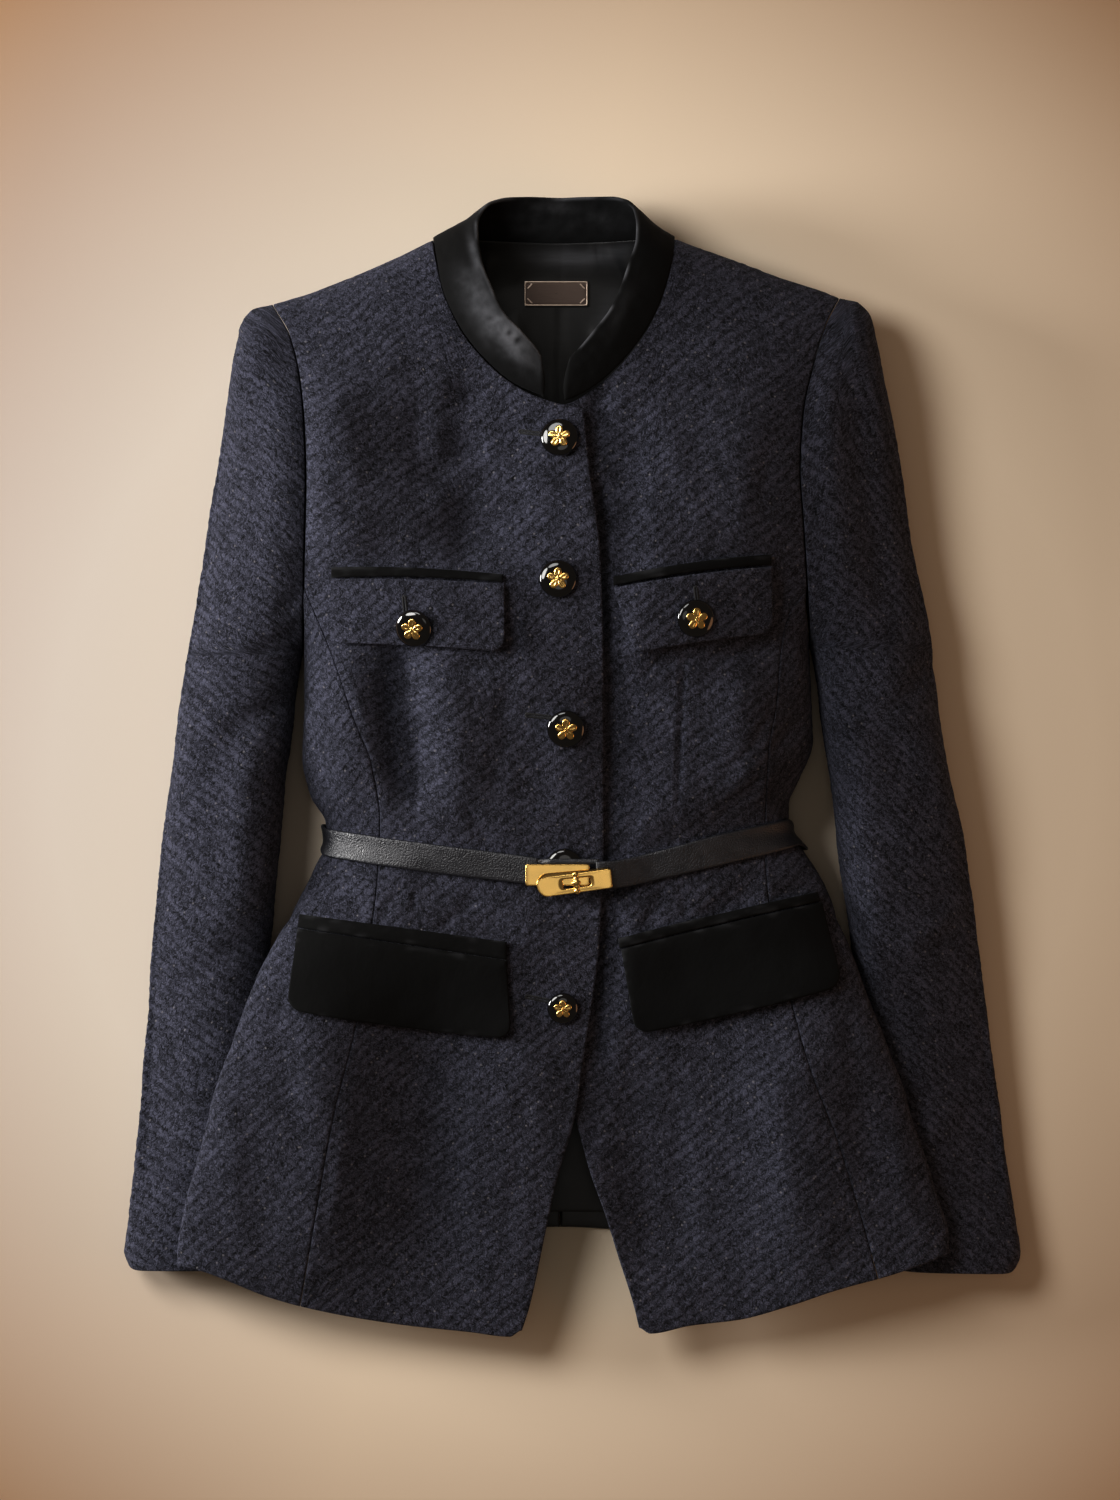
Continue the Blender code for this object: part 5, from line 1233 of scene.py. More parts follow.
def panel_grid(side, neck, shoulder_x, free_edge, seam, hem_table, step):
    """x and y of a panel between its free edge and its armhole and seam."""
    top = top_edge(neck, shoulder_x)

    def far_edge(y):
        return np.where(y > seam[0].y, x_at(side.arm, y), x_at(seam, y))

    start = x_at(free_edge, top[:, 1])
    top_share = (top[:, 0] - start) / (far_edge(top[:, 1]) - start)
    top_share[0] = 0
    top_share[-1] = 1
    share = spaced(abs(top[-1, 0] - top[0, 0]), step)
    top_x = np.interp(share, top_share, top[:, 0])
    top_y = np.interp(share, top_share, top[:, 1])
    hem_y = top_y * 0 + HEM_GUESS
    for _ in range(HEM_ROUNDS):
        hem_x = x_at(free_edge, hem_y) * (1 - share) + far_edge(hem_y) * share
        hem_y = y_at(hem_table, hem_x)
    y = top_y + (hem_y - top_y) * rows_down(top_y.mean() - hem_y.mean(), step)
    x = x_at(free_edge, y) * (1 - share) + far_edge(y) * share
    x[0] = top_x
    on_shoulder = np.abs(top_x - shoulder_x[-1]) <= abs(shoulder_x[0] - shoulder_x[-1])
    return x, y, on_shoulder


def height_grid(x, y, face):
    """(points, outward normals) of the torso's front (1) or back (-1) at a grid of (x, y)."""
    field = front_z if face > 0 else back_z

    def surface(a, b):
        return np.stack(np.broadcast_arrays(a, b, field(a, b)), axis=-1)

    return surface(x, y), -face * surface_normals(surface, x, y)


def panel_drop(x, y):
    """How far the right front lies below the torso's surface, past the left front's edge."""
    past_edge = x - x_at(CLOSURE_LEFT, y)
    return UNDERLAP * (1 - ease((past_edge - UNDERLAP_START) / UNDERLAP_EASE))


def make_fronts():
    """The two fronts: the left one lies over the right one along their free edges."""
    for side, neck, shoulder_x, free_edge in (
        (LEFT, NECK_FRONT_LEFT, SHOULDER_X_LEFT, CLOSURE_LEFT),
        (RIGHT, NECK_FRONT_RIGHT, SHOULDER_X_RIGHT, CLOSURE_RIGHT),
    ):
        grid = panel_grid(side, neck, shoulder_x, free_edge, side.side_seam, HEM_FRONT, PANEL_STEP)
        x, y, on_shoulder = grid
        points, normals = height_grid(x, y, 1)
        turn_to_shoulder(points, normals, on_shoulder)
        if side is RIGHT:
            points[..., 2] -= panel_drop(x, y)
        name = "front_" + side.name
        creases = FRONT_CREASES + UNDER_EDGE_CREASES if side is RIGHT else FRONT_CREASES
        points = creased(points, normals, creases, CLOTHS[name].seed)
        tweed_piece(name, points, normals)


def make_backs():
    """The two backs, which meet in a seam down the middle."""
    for side, neck, shoulder_x in (
        (LEFT, NECK_BACK_LEFT, SHOULDER_X_LEFT),
        (RIGHT, NECK_BACK_RIGHT, SHOULDER_X_RIGHT),
    ):
        grid = panel_grid(side, neck, shoulder_x, CENTRE_BACK, side.back_seam, HEM_BACK, BACK_STEP)
        x, y, on_shoulder = grid
        points, normals = height_grid(x, y, -1)
        turn_to_shoulder(points, normals, on_shoulder)
        name = "back_" + side.name
        points = creased(points, normals, BACK_CREASES, CLOTHS[name].seed)
        tweed_piece(name, points, normals)


SIDE_STEP = 2.0
SIDE_LOOSE_Y = 44  # below this the side panels' columns run straight down
SIDE_MEASURE_Y = -230  # where the number of their columns is found
SIDE_SAMPLES = 40
SIDE_HEM_GUESS = -325.0


def make_side(side):
    """A side panel: from its seam on the front, round the edge of the body, to its seam on the back."""
    share = spaced(side_width(side, SIDE_MEASURE_Y), SIDE_STEP)
    edge_theta = math.pi if side is LEFT else 0
    turn = 1 if side is LEFT else -1
    top_y = side.underarm_y + (side.join_y - side.underarm_y) * (2 * share - 1) ** 2

    def spread_theta(y):
        front = torso_theta(x_at(side.side_seam, y), y)
        back = torso_theta(x_at(side.back_seam, y), y)
        front_turn = np.abs(edge_theta - front)
        back_turn = np.abs(edge_theta - back)
        return edge_theta + turn * (back_turn * share - front_turn * (1 - share))

    arm_turn = np.abs(edge_theta - torso_theta(x_at(side.arm, top_y), top_y))
    top_theta = edge_theta + turn * np.sign(share - 0.5) * arm_turn
    hem_y = np.full_like(share, SIDE_HEM_GUESS)
    for _ in range(HEM_ROUNDS):
        hem_x = torso_point(spread_theta(hem_y), hem_y)[..., 0]
        hem_y = np.where(share < 0.5, y_at(HEM_FRONT, hem_x), y_at(HEM_BACK, hem_x))
    length = side.underarm_y - float(hem_y.mean())
    y = top_y + (hem_y - top_y) * spaced(length, SIDE_STEP)[:, None]
    down = ease((top_y - y) / (top_y - SIDE_LOOSE_Y))
    down = 1 - (1 - down) * (1 - (2 * share - 1) ** 4)
    theta = top_theta * (1 - down) + spread_theta(y) * down
    points = torso_point(theta, y)
    normals = surface_normals(torso_point, theta, y)
    name = "side_" + side.name
    points = creased(points, normals, SIDE_CREASES, CLOTHS[name].seed)
    tweed_piece(name, points, normals, wrapped=True)


def side_width(side, y):
    """How far it is round a side panel at y."""
    y = np.full(SIDE_SAMPLES, float(y))
    edge_theta = math.pi if side is LEFT else 0
    front = float(torso_theta(x_at(side.side_seam, y[0]), y[0]))
    back = float(torso_theta(x_at(side.back_seam, y[0]), y[0]))
    theta = np.linspace(front, 2 * edge_theta - back, SIDE_SAMPLES)
    return float(np.linalg.norm(np.diff(torso_point(theta, y), axis=0), axis=1).sum())


# ---------------------------------------------------------------- sleeves
SleevePart = namedtuple("SleevePart", "name width step")
SLEEVE_PARTS = (SleevePart("top_sleeve", 128, 1.9), SleevePart("under_sleeve", 96, 3.6))


def make_sleeve(side):
    """A sleeve's two parts, from the shoulder seam down to the wrist."""
    hem = SLEEVE_HEM_LEFT if side is LEFT else SLEEVE_HEM_RIGHT
    arm_top = side.arm[0]

    def surface(theta, y):
        return sleeve_point(side, theta, y)

    for part in SLEEVE_PARTS:
        share = spaced(part.width, part.step)
        on_top = part.name == "top_sleeve"
        across = share if on_top else 1 - share
        top_x = arm_top.x + (side.sleeve_outer[0].x - arm_top.x) * across
        top_y = y_at(SHOULDER, top_x)
        hem_x = side.sleeve_inner[-1].x + (side.sleeve_outer[-1].x - side.sleeve_inner[-1].x) * across
        hem_y = y_at(hem, hem_x)
        y = top_y + (hem_y - top_y) * rows_down(top_y.mean() - hem_y.mean(), part.step)
        start = sleeve_start(side, y)
        under = sleeve_under(side, y)
        outer_seam = math.pi + OUTER_WRAP * ease((y[0] - y) / CAP_REACH)
        if on_top:
            first = start - under
            last = outer_seam
        else:
            first = outer_seam
            last = 2 * math.pi - start - under
        theta = first + (last - first) * share
        points = surface(theta, y)
        normals = side.toward_body * surface_normals(surface, theta, y)
        turn_to_shoulder(points, normals, slice(None))
        name = part.name + "_" + side.name
        points = creased(points, normals, SLEEVE_CREASES, CLOTHS[name].seed)
        tweed_piece(name, points, normals, wrapped=True)


# ---------------------------------------------------------------- collar and lining
COLLAR_STEP = 1.3
COLLAR_HEIGHT = 40
COLLAR_EXTRA = 0.4  # the collar's velvet is this much thicker than the rest
COLLAR_INSET = 0.05
COLLAR_DENTS = (Waves(0.5, 11, 11, 21), Waves(0.25, 5, 5, 22))
DENT_FADE = 8
SHEEN_BREAK_WANDER = (Waves(1.5, 5, 5, 21), Waves(1.5, 5, 5, 22))  # along x and along y
SHEEN_BREAK_MOST = 0.9
SHEEN_LEVEL = 0.82  # how much of the painted sheen stays, on average
SHEEN_CHANGE = (Waves(0.25, 6, 5, 23), Waves(0.12, 2.5, 2.5, 24))
EDGE_LINE = 0.45  # how bright the painted highlight is along the collar's free edge
EDGE_LINE_START = 0.93
EDGE_LINE_REACH = 0.05
EDGE_LINE_LEVEL = 0.6
EDGE_LINE_BREAKS = Waves(1, 9, 9, 25)
Patch = namedtuple("Patch", "x y long wide turn strength")
# Where a sheen is painted on the collar's pile: centre, half sizes, turn in degrees, strength
COLLAR_PATCHES = (
    Patch(-41, 274, 22, 9, -43, 1.0),
    Patch(-61, 302, 15, 8, -58, 0.5),
    Patch(-62, 325, 13, 3, -76, 0.55),
    Patch(-12, 360, 15, 4, -6, 0.42),
    Patch(-12, 351, 46, 11, 0, 0.2),
    Patch(24, 350, 12, 5, -10, 0.16),
    Patch(30, 290, 22, 5, 62, 0.10),
)
# Where the painted sheen is broken again by small darker marks
SHEEN_BREAKS = (
    Patch(-41, 275, 2.6, 2.0, 60, 0.8),
    Patch(-34.5, 270.5, 3.2, 2.2, 45, 0.85),
    Patch(-30, 264, 5, 2.0, -30, 0.45),
    Patch(-50, 268, 8, 3, -40, 0.6),
    Patch(-38, 256, 6, 3, -20, 0.7),
    Patch(-27, 251, 5, 3, -50, 0.6),
    Patch(-52, 285, 5, 2.2, 20, 0.3),
)


def patch_light(patches, x, y):
    """How far each point lies in soft oval patches, from 0 to their strengths."""
    total = np.zeros_like(x)
    for patch in patches:
        turn = math.radians(patch.turn)
        along = (x - patch.x) * math.cos(turn) + (y - patch.y) * math.sin(turn)
        across = (y - patch.y) * math.cos(turn) - (x - patch.x) * math.sin(turn)
        total = total + patch.strength * np.exp(-((along / patch.long) ** 2) - (across / patch.wide) ** 2)
    return total


def make_collar():
    """The stand band, with a painted sheen on its left side and round the back of the neck, and a painted
    highlight along its free edge.
    """
    knots = []
    for r in COLLAR:
        field = front_z if r.face > 0 else back_z
        z = float(field(np.array(float(r.seam_x)), np.array(float(r.seam_y))))
        knots.append((r.seam_x, r.seam_y, z, r.free_x, r.free_y, r.free_z))
    knots = np.array(knots, float)
    middle = (knots[:, :3] + knots[:, 3:]) / 2
    along = np.concatenate([[0], np.cumsum(np.linalg.norm(np.diff(middle, axis=0), axis=1))])
    at = spaced(along[-1], COLLAR_STEP) * along[-1]
    fine = np.stack([smooth(at, along, knots[:, k]) for k in range(6)], axis=-1)
    seam = fine[:, :3]
    free = fine[:, 3:]
    direction = np.gradient((seam + free) / 2, at, axis=0)
    normal = np.cross(direction, free - seam)
    normal /= np.linalg.norm(normal, axis=-1, keepdims=True)
    t = spaced(COLLAR_HEIGHT, COLLAR_STEP)[:, None, None]
    points = seam + (free - seam) * t - normal * (COLLAR_BULGE * arch(t))
    outward = np.broadcast_to(-normal, points.shape)
    x = points[..., 0]
    y = points[..., 1]
    dents = sum(waves(kind, x, y) for kind in COLLAR_DENTS)
    points = points + outward * (dents * ease(edge_distance(points) / DENT_FADE))[..., None]
    # Painted sheen: soft patches broken by darker marks, and a painted highlight along the free edge.
    bent_x = x + waves(SHEEN_BREAK_WANDER[0], x, y)
    bent_y = y + waves(SHEEN_BREAK_WANDER[1], x, y)
    sheen_left = 1 - np.clip(patch_light(SHEEN_BREAKS, bent_x, bent_y), 0, SHEEN_BREAK_MOST)
    sheen_left = sheen_left * (SHEEN_LEVEL + sum(waves(kind, x, y) for kind in SHEEN_CHANGE))
    edge_line = EDGE_LINE * ease((t[..., 0] - EDGE_LINE_START) / EDGE_LINE_REACH)
    edge_line = edge_line * ease(EDGE_LINE_LEVEL + waves(EDGE_LINE_BREAKS, x, y))
    brush = np.clip(patch_light(COLLAR_PATCHES, x, y) * sheen_left + edge_line, 0, 1)
    thick = VELVET + COLLAR_EXTRA
    piled_piece("collar_velvet", "collar", "velvet", points, outward, thick, brush, COLLAR_INSET)


# Half the lining's width
LINING_HALF = (
    At(333, 62), At(292, 78), At(240, 92), At(110, 104), At(0, 86), At(-45, 84), At(-160, 104), At(-287, 128)
)
LINING_TOP = 335.8
LINING_UNDER_COLLAR = 0.9  # how far its top edge goes past the seam of the neck
LINING_TURN = 12  # the share of its length over which that edge straightens, as one part in this many
LINING_HEM = -287
LINING_STEP = 3.2
LINING_SINK = 0.3  # how far a pucker can go down
LINING_RIPPLE = Waves(0.25, 12, 16, 31)
LINING_PUCKERS = (
    Fold(22, 334, 36, 306, 3.5, 1.4),
    Fold(36, 330, 46, 300, 3.0, 1.1),
    Fold(12, 335, 15, 322, 2.0, 0.8),
    Fold(18, 335, 20, 325, 1.6, 0.8),
    Fold(-52, 326, -60, 300, 3.5, 1.2),
    Fold(-7, 331, -8, 200, 2.0, -1.0),
    Fold(12, 280, 30, 262, 4.0, 1.2),
    Fold(-40, 286, -24, 262, 4.0, 1.2),
)
# Where a highlight is painted on the satin
LINING_PATCHES = (
    Patch(-2, 327, 30, 5.5, 0, 0.75),
    Patch(27, 331, 13, 4, 12, 0.45),
    Patch(20, 286, 18, 7, 68, 0.35),
    Patch(-7, 275, 16, 7, 90, 0.16),
)


def lining_z(x, y):
    """The lining's upper face, on the inner face of the backs."""
    points, normals = height_grid(x, y, -1)
    return points[..., 2] + TWEED / np.abs(normals[..., 2]) + LAY + SATIN


def make_lining():
    """The lining of the back, of which the top shows inside the collar."""
    rows = spaced(LINING_TOP - LINING_HEM, LINING_STEP)[:, None]
    columns = spaced(2 * LINING_HALF[-1].x, LINING_STEP)
    y = LINING_TOP + (LINING_HEM - LINING_TOP) * rows + 0 * columns
    x = CENTRE_BACK_X + x_at(LINING_HALF, y) * (2 * columns - 1)
    neck = NECK_BACK_LEFT[::-1] + NECK_BACK_RIGHT[1:]
    y = y + (y_at(neck, x) + LINING_UNDER_COLLAR - LINING_TOP) * ease(1 - rows * LINING_TURN)
    puckers = np.maximum(fold_height(LINING_PUCKERS, x, y), -LINING_SINK)
    puckers = puckers + LINING_RIPPLE.height + waves(LINING_RIPPLE, x, y)
    points = np.stack([x, y, lining_z(x, y) + puckers], axis=-1)
    up = np.broadcast_to(UP, points.shape)
    # Painted highlight on the satin.
    brush = patch_light(LINING_PATCHES, x, y)
    piled_piece("back_lining_satin", "back_lining", "satin", points, up, SATIN, brush, CLOTH_INSET)


# ---------------------------------------------------------------- flaps and welts
FLAP_STEP = 1.5
RELIEF_ROOM = 0.7  # how far the weave below can stand out
FLAP_TUCK = 0.6  # how far a velvet flap's top edge goes up towards its welt
FLAP_REACH = {"hip_flap_left": 1.9, "hip_flap_right": 2.9}  # further up, midway along the edge
LEAST_ROWS = 4  # over the depth of a narrow welt
FLAP_BULGE = 0.4
FLAP_SWELL = Waves(0.3, 14, 14, 41)
FLAP_ROUND = 6  # how far from its edges a flap has its full bulge
FLAP_LIFT = 1.6  # how far a flap's lower edge stands off
FLAP_CURL = 1.6  # how near to that edge it begins to rise
EDGE_GLINT = 0.22  # how bright the painted glints on the velvet are near its edges
EDGE_GLINT_MARKS = Waves(1, 8, 3, 43)
EDGE_GLINT_LEAST = 0.2
EDGE_GLINT_REACH = 5


def flap_grid(flap, step):
    """x and y over a flap or welt, its lower corners rounded."""
    corners = (flap.top_left, flap.top_right, flap.bottom_left, flap.bottom_right)
    top_left, top_right, bottom_left, bottom_right = np.array(corners, float)
    length = np.linalg.norm(top_right - top_left)
    depth = np.linalg.norm(bottom_left - top_left)
    share = spaced(length, step)
    from_end = np.minimum(share, 1 - share) * length
    short = np.zeros_like(share)
    if flap.corner:
        inwards = np.clip(flap.corner - from_end, 0, flap.corner)
        short = flap.corner - np.sqrt(flap.corner**2 - inwards**2)
    bow = np.stack([0 * share, flap.bow * arch(share)], axis=-1)
    high = top_left + (top_right - top_left) * share[:, None] + bow
    if flap.name in FLAP_REACH:
        high[:, 1] += FLAP_TUCK + FLAP_REACH[flap.name] * arch(share)
    low = bottom_left + (bottom_right - bottom_left) * share[:, None] + bow
    down = spaced(depth, min(step, depth / LEAST_ROWS))[:, None, None] * (1 - short / depth)[:, None]
    return high + (low - high) * down


def make_flap(flap, step):
    """A flap or a welt, lying on the front of its side."""
    grid = flap_grid(flap, step)
    x = grid[..., 0]
    y = grid[..., 1]
    ground = front_z(x, y) - np.where(x > 0, panel_drop(x, y), 0)
    points = np.stack([x, y, ground + RELIEF_ROOM + LAY + flap.thick], axis=-1)
    normals = height_grid(x, y, 1)[1]
    bulge = ease(edge_distance(points) / FLAP_ROUND) * (FLAP_BULGE + waves(FLAP_SWELL, x, y))
    down = arc_lengths(points, 0)
    share = down / (down[-1:] + TINY)
    lift = FLAP_LIFT * ease(1 - FLAP_CURL * (1 - share)) if flap in FLAPS else 0
    points = points + normals * (bulge + lift)[..., None]
    if flap.material == "tweed":
        tweed_piece(flap.name, points, normals, lining=False, thick=flap.thick)
        return
    # Painted glints along the velvet's edges, in broken marks.
    marks = np.clip(waves(EDGE_GLINT_MARKS, x, y) - EDGE_GLINT_LEAST, 0, 1)
    brush = EDGE_GLINT * marks * ease(1 - edge_distance(points) / EDGE_GLINT_REACH)
    name = flap.name + "_velvet"
    piled_piece(name, flap.name, "velvet", points, normals, flap.thick, brush, CLOTH_INSET)


# ---------------------------------------------------------------- buttons
Ring = namedtuple("Ring", "share height")
BUTTON_PROFILE = (
    Ring(0.0, 0.0), Ring(0.5, 0.0), Ring(0.90, 0.0), Ring(0.97, 0.4), Ring(0.997, 1.0), Ring(1.0, 1.6),
    Ring(0.985, 2.2), Ring(0.95, 2.8), Ring(0.89, 3.3), Ring(0.80, 3.75), Ring(0.68, 4.1), Ring(0.54, 4.34),
    Ring(0.38, 4.5), Ring(0.2, 4.58), Ring(0.08, 4.6), Ring(0.0, 4.6),
)
BUTTON_SIDES = 56
PINHOLE = 0.002  # a dome's rings never close to a point
MOTIF_PETALS = 5
MOTIF_RADIUS = 7.2
MOTIF_GAP = 0.25
MOTIF_THICK = 1.2
MOTIF_RINGS = 12
MOTIF_SIDES = 80
# Shares of the motif's radius, and of its thickness for the heights
MOTIF_PINHOLE = 0.004
MOTIF_NOTCH = 0.5  # how far in the outline comes between two petals
MOTIF_UNDERCUT = 0.45
PETAL_POWER = 0.7
PETAL_BASE = 0.2
PETAL_SWELL = 0.75
PETAL_MIDDLE = 0.6
PETAL_HALF = 0.42
PETAL_VALLEY = 0.35  # how much of the swell is left between two petals
BOSS_RADIUS = 0.16
BOSS_FALL = 0.1
VEIN_DEPTH = 0.35
VEIN_POWER = 8
VEIN_START = 0.3
VEIN_FADES = (0.2, 0.3)  # at its inner and its outer end


def node_plane(node):
    """(underside centre, unit normal) of a turned CAD node, in millimetres."""
    points = np.array([v.co for v in frame["nodes"][node].data.vertices]) / MM
    centre = points.mean(axis=0)
    _, _, axes = np.linalg.svd(points - centre, full_matrices=False)
    normal = axes[2] * np.sign(axes[2][2])
    return centre + normal * ((points - centre) @ normal).min(), normal


def axes_about(normal):
    """Two directions across a normal, the first near +X."""
    across = np.array([1.0, 0, 0]) - normal * normal[0]
    across /= np.linalg.norm(across)
    return across, np.cross(normal, across)


def turned_points(centre, normal, radius, angle, height):
    """Points at these radii, angles and heights about a normal."""
    across, up = axes_about(normal)
    flat = np.multiply.outer(radius * np.cos(angle), across) + np.multiply.outer(radius * np.sin(angle), up)
    return centre + flat + np.multiply.outer(height, normal)


def ring_quads(rings, sides):
    """Quads between closed rings of points, each ring after the one before."""
    start = np.arange(sides)
    follow = np.roll(start, -1)
    band = np.stack([start, follow, follow + sides, start + sides], axis=-1)
    return np.concatenate([band + k * sides for k in range(rings - 1)])


def gathered(parts):
    """(points, quads) of several parts as one."""
    quads = []
    first = 0
    for points, part_quads in parts:
        quads.append(part_quads + first)
        first += len(points)
    return np.concatenate([points for points, _ in parts]), np.concatenate(quads)


def hard_part(name, node, slot, look, *parts):
    """One object in place of a solid, from parts that are each (points, quads)."""
    made = mesh_piece(name, *gathered(parts), [MATERIALS[look]])
    hard_piece(made, node)


def make_button(button):
    """A button's dome, and its motif where it has one."""
    centre, normal = node_plane(button.name)
    share = np.array([max(ring.share, PINHOLE) for ring in BUTTON_PROFILE])[:, None]
    angle = np.linspace(0, 2 * math.pi, BUTTON_SIDES, endpoint=False) + 0 * share
    height = np.array([ring.height for ring in BUTTON_PROFILE])[:, None] + 0 * angle
    points = turned_points(centre, normal, button.radius * share, angle, height).reshape(-1, 3)
    quads = ring_quads(len(BUTTON_PROFILE), BUTTON_SIDES)
    hard_part(button.name + "_dome", button.name, "gloss", "gloss", (points, quads))
    if button.motif:
        make_motif(button, centre, normal)


def make_motif(button, centre, normal):
    """A plain five-petalled flower with a round boss."""
    size = MOTIF_RADIUS * button.radius / BUTTON_RADIUS
    angle = np.linspace(0, 2 * math.pi, MOTIF_SIDES, endpoint=False)[None, :]
    crest = np.cos(MOTIF_PETALS * (angle - math.pi / 2) / 2)
    petal = np.abs(crest) ** PETAL_POWER
    outline = size * (1 - MOTIF_NOTCH + MOTIF_NOTCH * petal)
    t = np.linspace(MOTIF_PINHOLE, 1, MOTIF_RINGS)[:, None]
    boss = 1 - ease((t - BOSS_RADIUS) / BOSS_FALL)
    ends = ease((t - VEIN_START) / VEIN_FADES[0]) * ease((1 - t) / VEIN_FADES[1])
    veins = VEIN_DEPTH * crest**VEIN_POWER * ends
    dome = np.sqrt(np.clip(1 - ((t - PETAL_MIDDLE) / PETAL_HALF) ** 2, 0, 1))
    dome = dome * (PETAL_VALLEY + (1 - PETAL_VALLEY) * petal)
    relief = np.maximum(boss, PETAL_BASE + PETAL_SWELL * dome - veins)
    height = BUTTON_THICK + MOTIF_GAP + MOTIF_THICK * relief
    radius = outline * t
    under = BUTTON_THICK + MOTIF_GAP - MOTIF_UNDERCUT * (radius[-1:] / size)
    radius = np.concatenate([radius, radius[-1:], radius[:1]])
    height = np.concatenate([height, under, np.full_like(under, BUTTON_THICK)])
    angle = np.broadcast_to(angle, radius.shape)
    points = turned_points(centre, normal, radius, angle, height).reshape(-1, 3)
    quads = ring_quads(len(radius), MOTIF_SIDES)[:, ::-1]
    hard_part(button.name + "_flower", button.name + "_motif", "gold", "gold", (points, quads))


# ---------------------------------------------------------------- belt
BELT_START = Point(-21, -67)
BELT_END = Point(15, -70)
BELT_LAY = 0.9
BELT_BOW = 0.25  # how far its middle stands out further
BELT_RISE = 40  # the reach over which its ends rise to the clasp
LEFT_END_DROP = 0.8  # below the clasp's underside
RIGHT_END_RISE = 2.0  # above it
BELT_STEP = 1.6
BELT_SAMPLES = 4000
BELT_GUESS = -55.0
BELT_ROUNDS = 3
BELT_TURN = 0.25  # how near the side edges it turns level


def belt_theta_to_y(theta):
    """The belt's middle line: along the front's table, then level round the back."""
    y = np.full_like(theta, BELT_GUESS)
    for _ in range(BELT_ROUNDS):
        x = torso_point(theta, y)[..., 0]
        front_y = y_at(BELT_FRONT, x)
        y = np.where(np.sin(theta) >= 0, front_y, BELT_BACK_Y)
        from_edge = ease(np.abs(np.sin(theta)) / BELT_TURN)
        y = y * from_edge + BELT_BACK_Y * (1 - from_edge)
    return y


def make_belt(left_top, right_top):
    """The strap, from the clasp's left end round the back to its right end, and a strip behind the clasp."""
    start = float(torso_theta(np.array(float(BELT_START.x)), np.array(float(BELT_START.y))))
    end = float(torso_theta(np.array(float(BELT_END.x)), np.array(float(BELT_END.y)))) + 2 * math.pi
    dense = np.linspace(start, end, BELT_SAMPLES)
    line = torso_point(dense, belt_theta_to_y(dense))
    along = np.concatenate([[0], np.cumsum(np.linalg.norm(np.diff(line, axis=0), axis=1))])
    theta = np.interp(spaced(along[-1], BELT_STEP) * along[-1], along, dense)
    y_mid = belt_theta_to_y(theta)
    across = (spaced(BELT_WIDTH, BELT_STEP)[:, None] - 0.5) * BELT_WIDTH
    y = y_mid + across
    theta = theta + 0 * across
    points = torso_point(theta, y)
    normals = surface_normals(torso_point, theta, y)
    points = points + normals * (BELT_LAY + BELT_THICK + BELT_BOW)
    x = points[..., 0].mean(axis=0)
    on_front = np.sin(theta[0]) >= 0
    left_rise = ease((x - BELT_START.x + BELT_RISE) / BELT_RISE) * on_front * (theta[0] < math.pi)
    right_rise = ease((BELT_END.x + BELT_RISE - x) / BELT_RISE) * on_front * (theta[0] > math.pi)
    top_z = points[..., 2].mean(axis=0)
    points[..., 2] += (left_top - top_z) * left_rise + (right_top - top_z) * right_rise
    looks = [MATERIALS["leather"]]
    strap = wall_piece("strap", points, normals, BELT_THICK, looks, inset=CLOTH_INSET)
    made = joined("belt_leather", [strap, behind_clasp(left_top, right_top, looks)], looks)
    finish_cloth(made, "belt_strap", points)


STRIP_THICK = 1.0
STRIP_TOP_Y = -59.0
STRIP_BOTTOM_Y = -62.45
STRIP_OVERRUN = 2  # past each end of the strap
STRIP_RISE = 7
STRIP_SINK = 0.5  # below the top of the strap's right end
STRIP_COLUMNS = 40
STRIP_ROWS = 6


def behind_clasp(left_top, right_top, looks):
    """The strip of the belt that shows above the clasp, from one of its ends to the other."""
    x = np.linspace(BELT_START.x - STRIP_OVERRUN, BELT_END.x + STRIP_OVERRUN, STRIP_COLUMNS)[None, :]
    y = np.linspace(STRIP_TOP_Y, STRIP_BOTTOM_Y, STRIP_ROWS)[:, None] + 0 * x
    z = left_top + (right_top - STRIP_SINK - left_top) * ease((x - BELT_START.x) / STRIP_RISE) + 0 * y
    points = np.stack([x + 0 * y, y, z], axis=-1)
    up = np.broadcast_to(UP, points.shape)
    return wall_piece("strip", points, up, STRIP_THICK, looks, inset=CLOTH_INSET)


def joined(name, pieces, looks):
    """One object in place of several that are made of quads."""
    parts = []
    for piece in pieces:
        mesh = piece.data
        points = np.array([vertex.co for vertex in mesh.vertices]) / MM
        parts.append((points, np.array([face.vertices[:] for face in mesh.polygons])))
        bpy.data.objects.remove(piece)
    return mesh_piece(name, *gathered(parts), looks)


# ---------------------------------------------------------------- metal plates
CLASP_PLACE = Point(1.5, -73.5)
CLASP_TURN = math.radians(5.5)
PLATE_THICK = 2.0
RUNNING_GAP = 0.3
PLATE_SIDES = 96
PLATE_SAMPLES = 720
CORNER_STEPS = 16
LEAST_RADIUS = 0.05
UNDER_BEVEL = 0.25
EDGE_TURNS = (0, 18, 36, 54, 72, 90)  # degrees round a plate's upper edge
FACE_SHARES = (0.12, 0.3, 0.55, 0.8, 1.0)  # where its upper face has rings, on the way inwards
FACE_MIDDLE = 0.02
HOLE_BEVEL = 0.4
HOLE_DROP = 0.35
Plate = namedtuple("Plate", "x y length width left_radius right_radius")
BASE = Plate(-11, 4.2, 41, 14, 1.2, 1.2)
FRONT = Plate(-0.5, 0, 48, 14.5, 7.2, 1.5)
SLOT = Plate(1.0, -0.8, 17.6, 6.0, 1.5, 1.5)
TOGGLE_PLACE = Point(0.8, -0.8)
TOGGLE_LENGTH = 14.5
TOGGLE_SQUASH = 0.4
TOGGLE_SIDES = 24
Bead = namedtuple("Bead", "share radius")
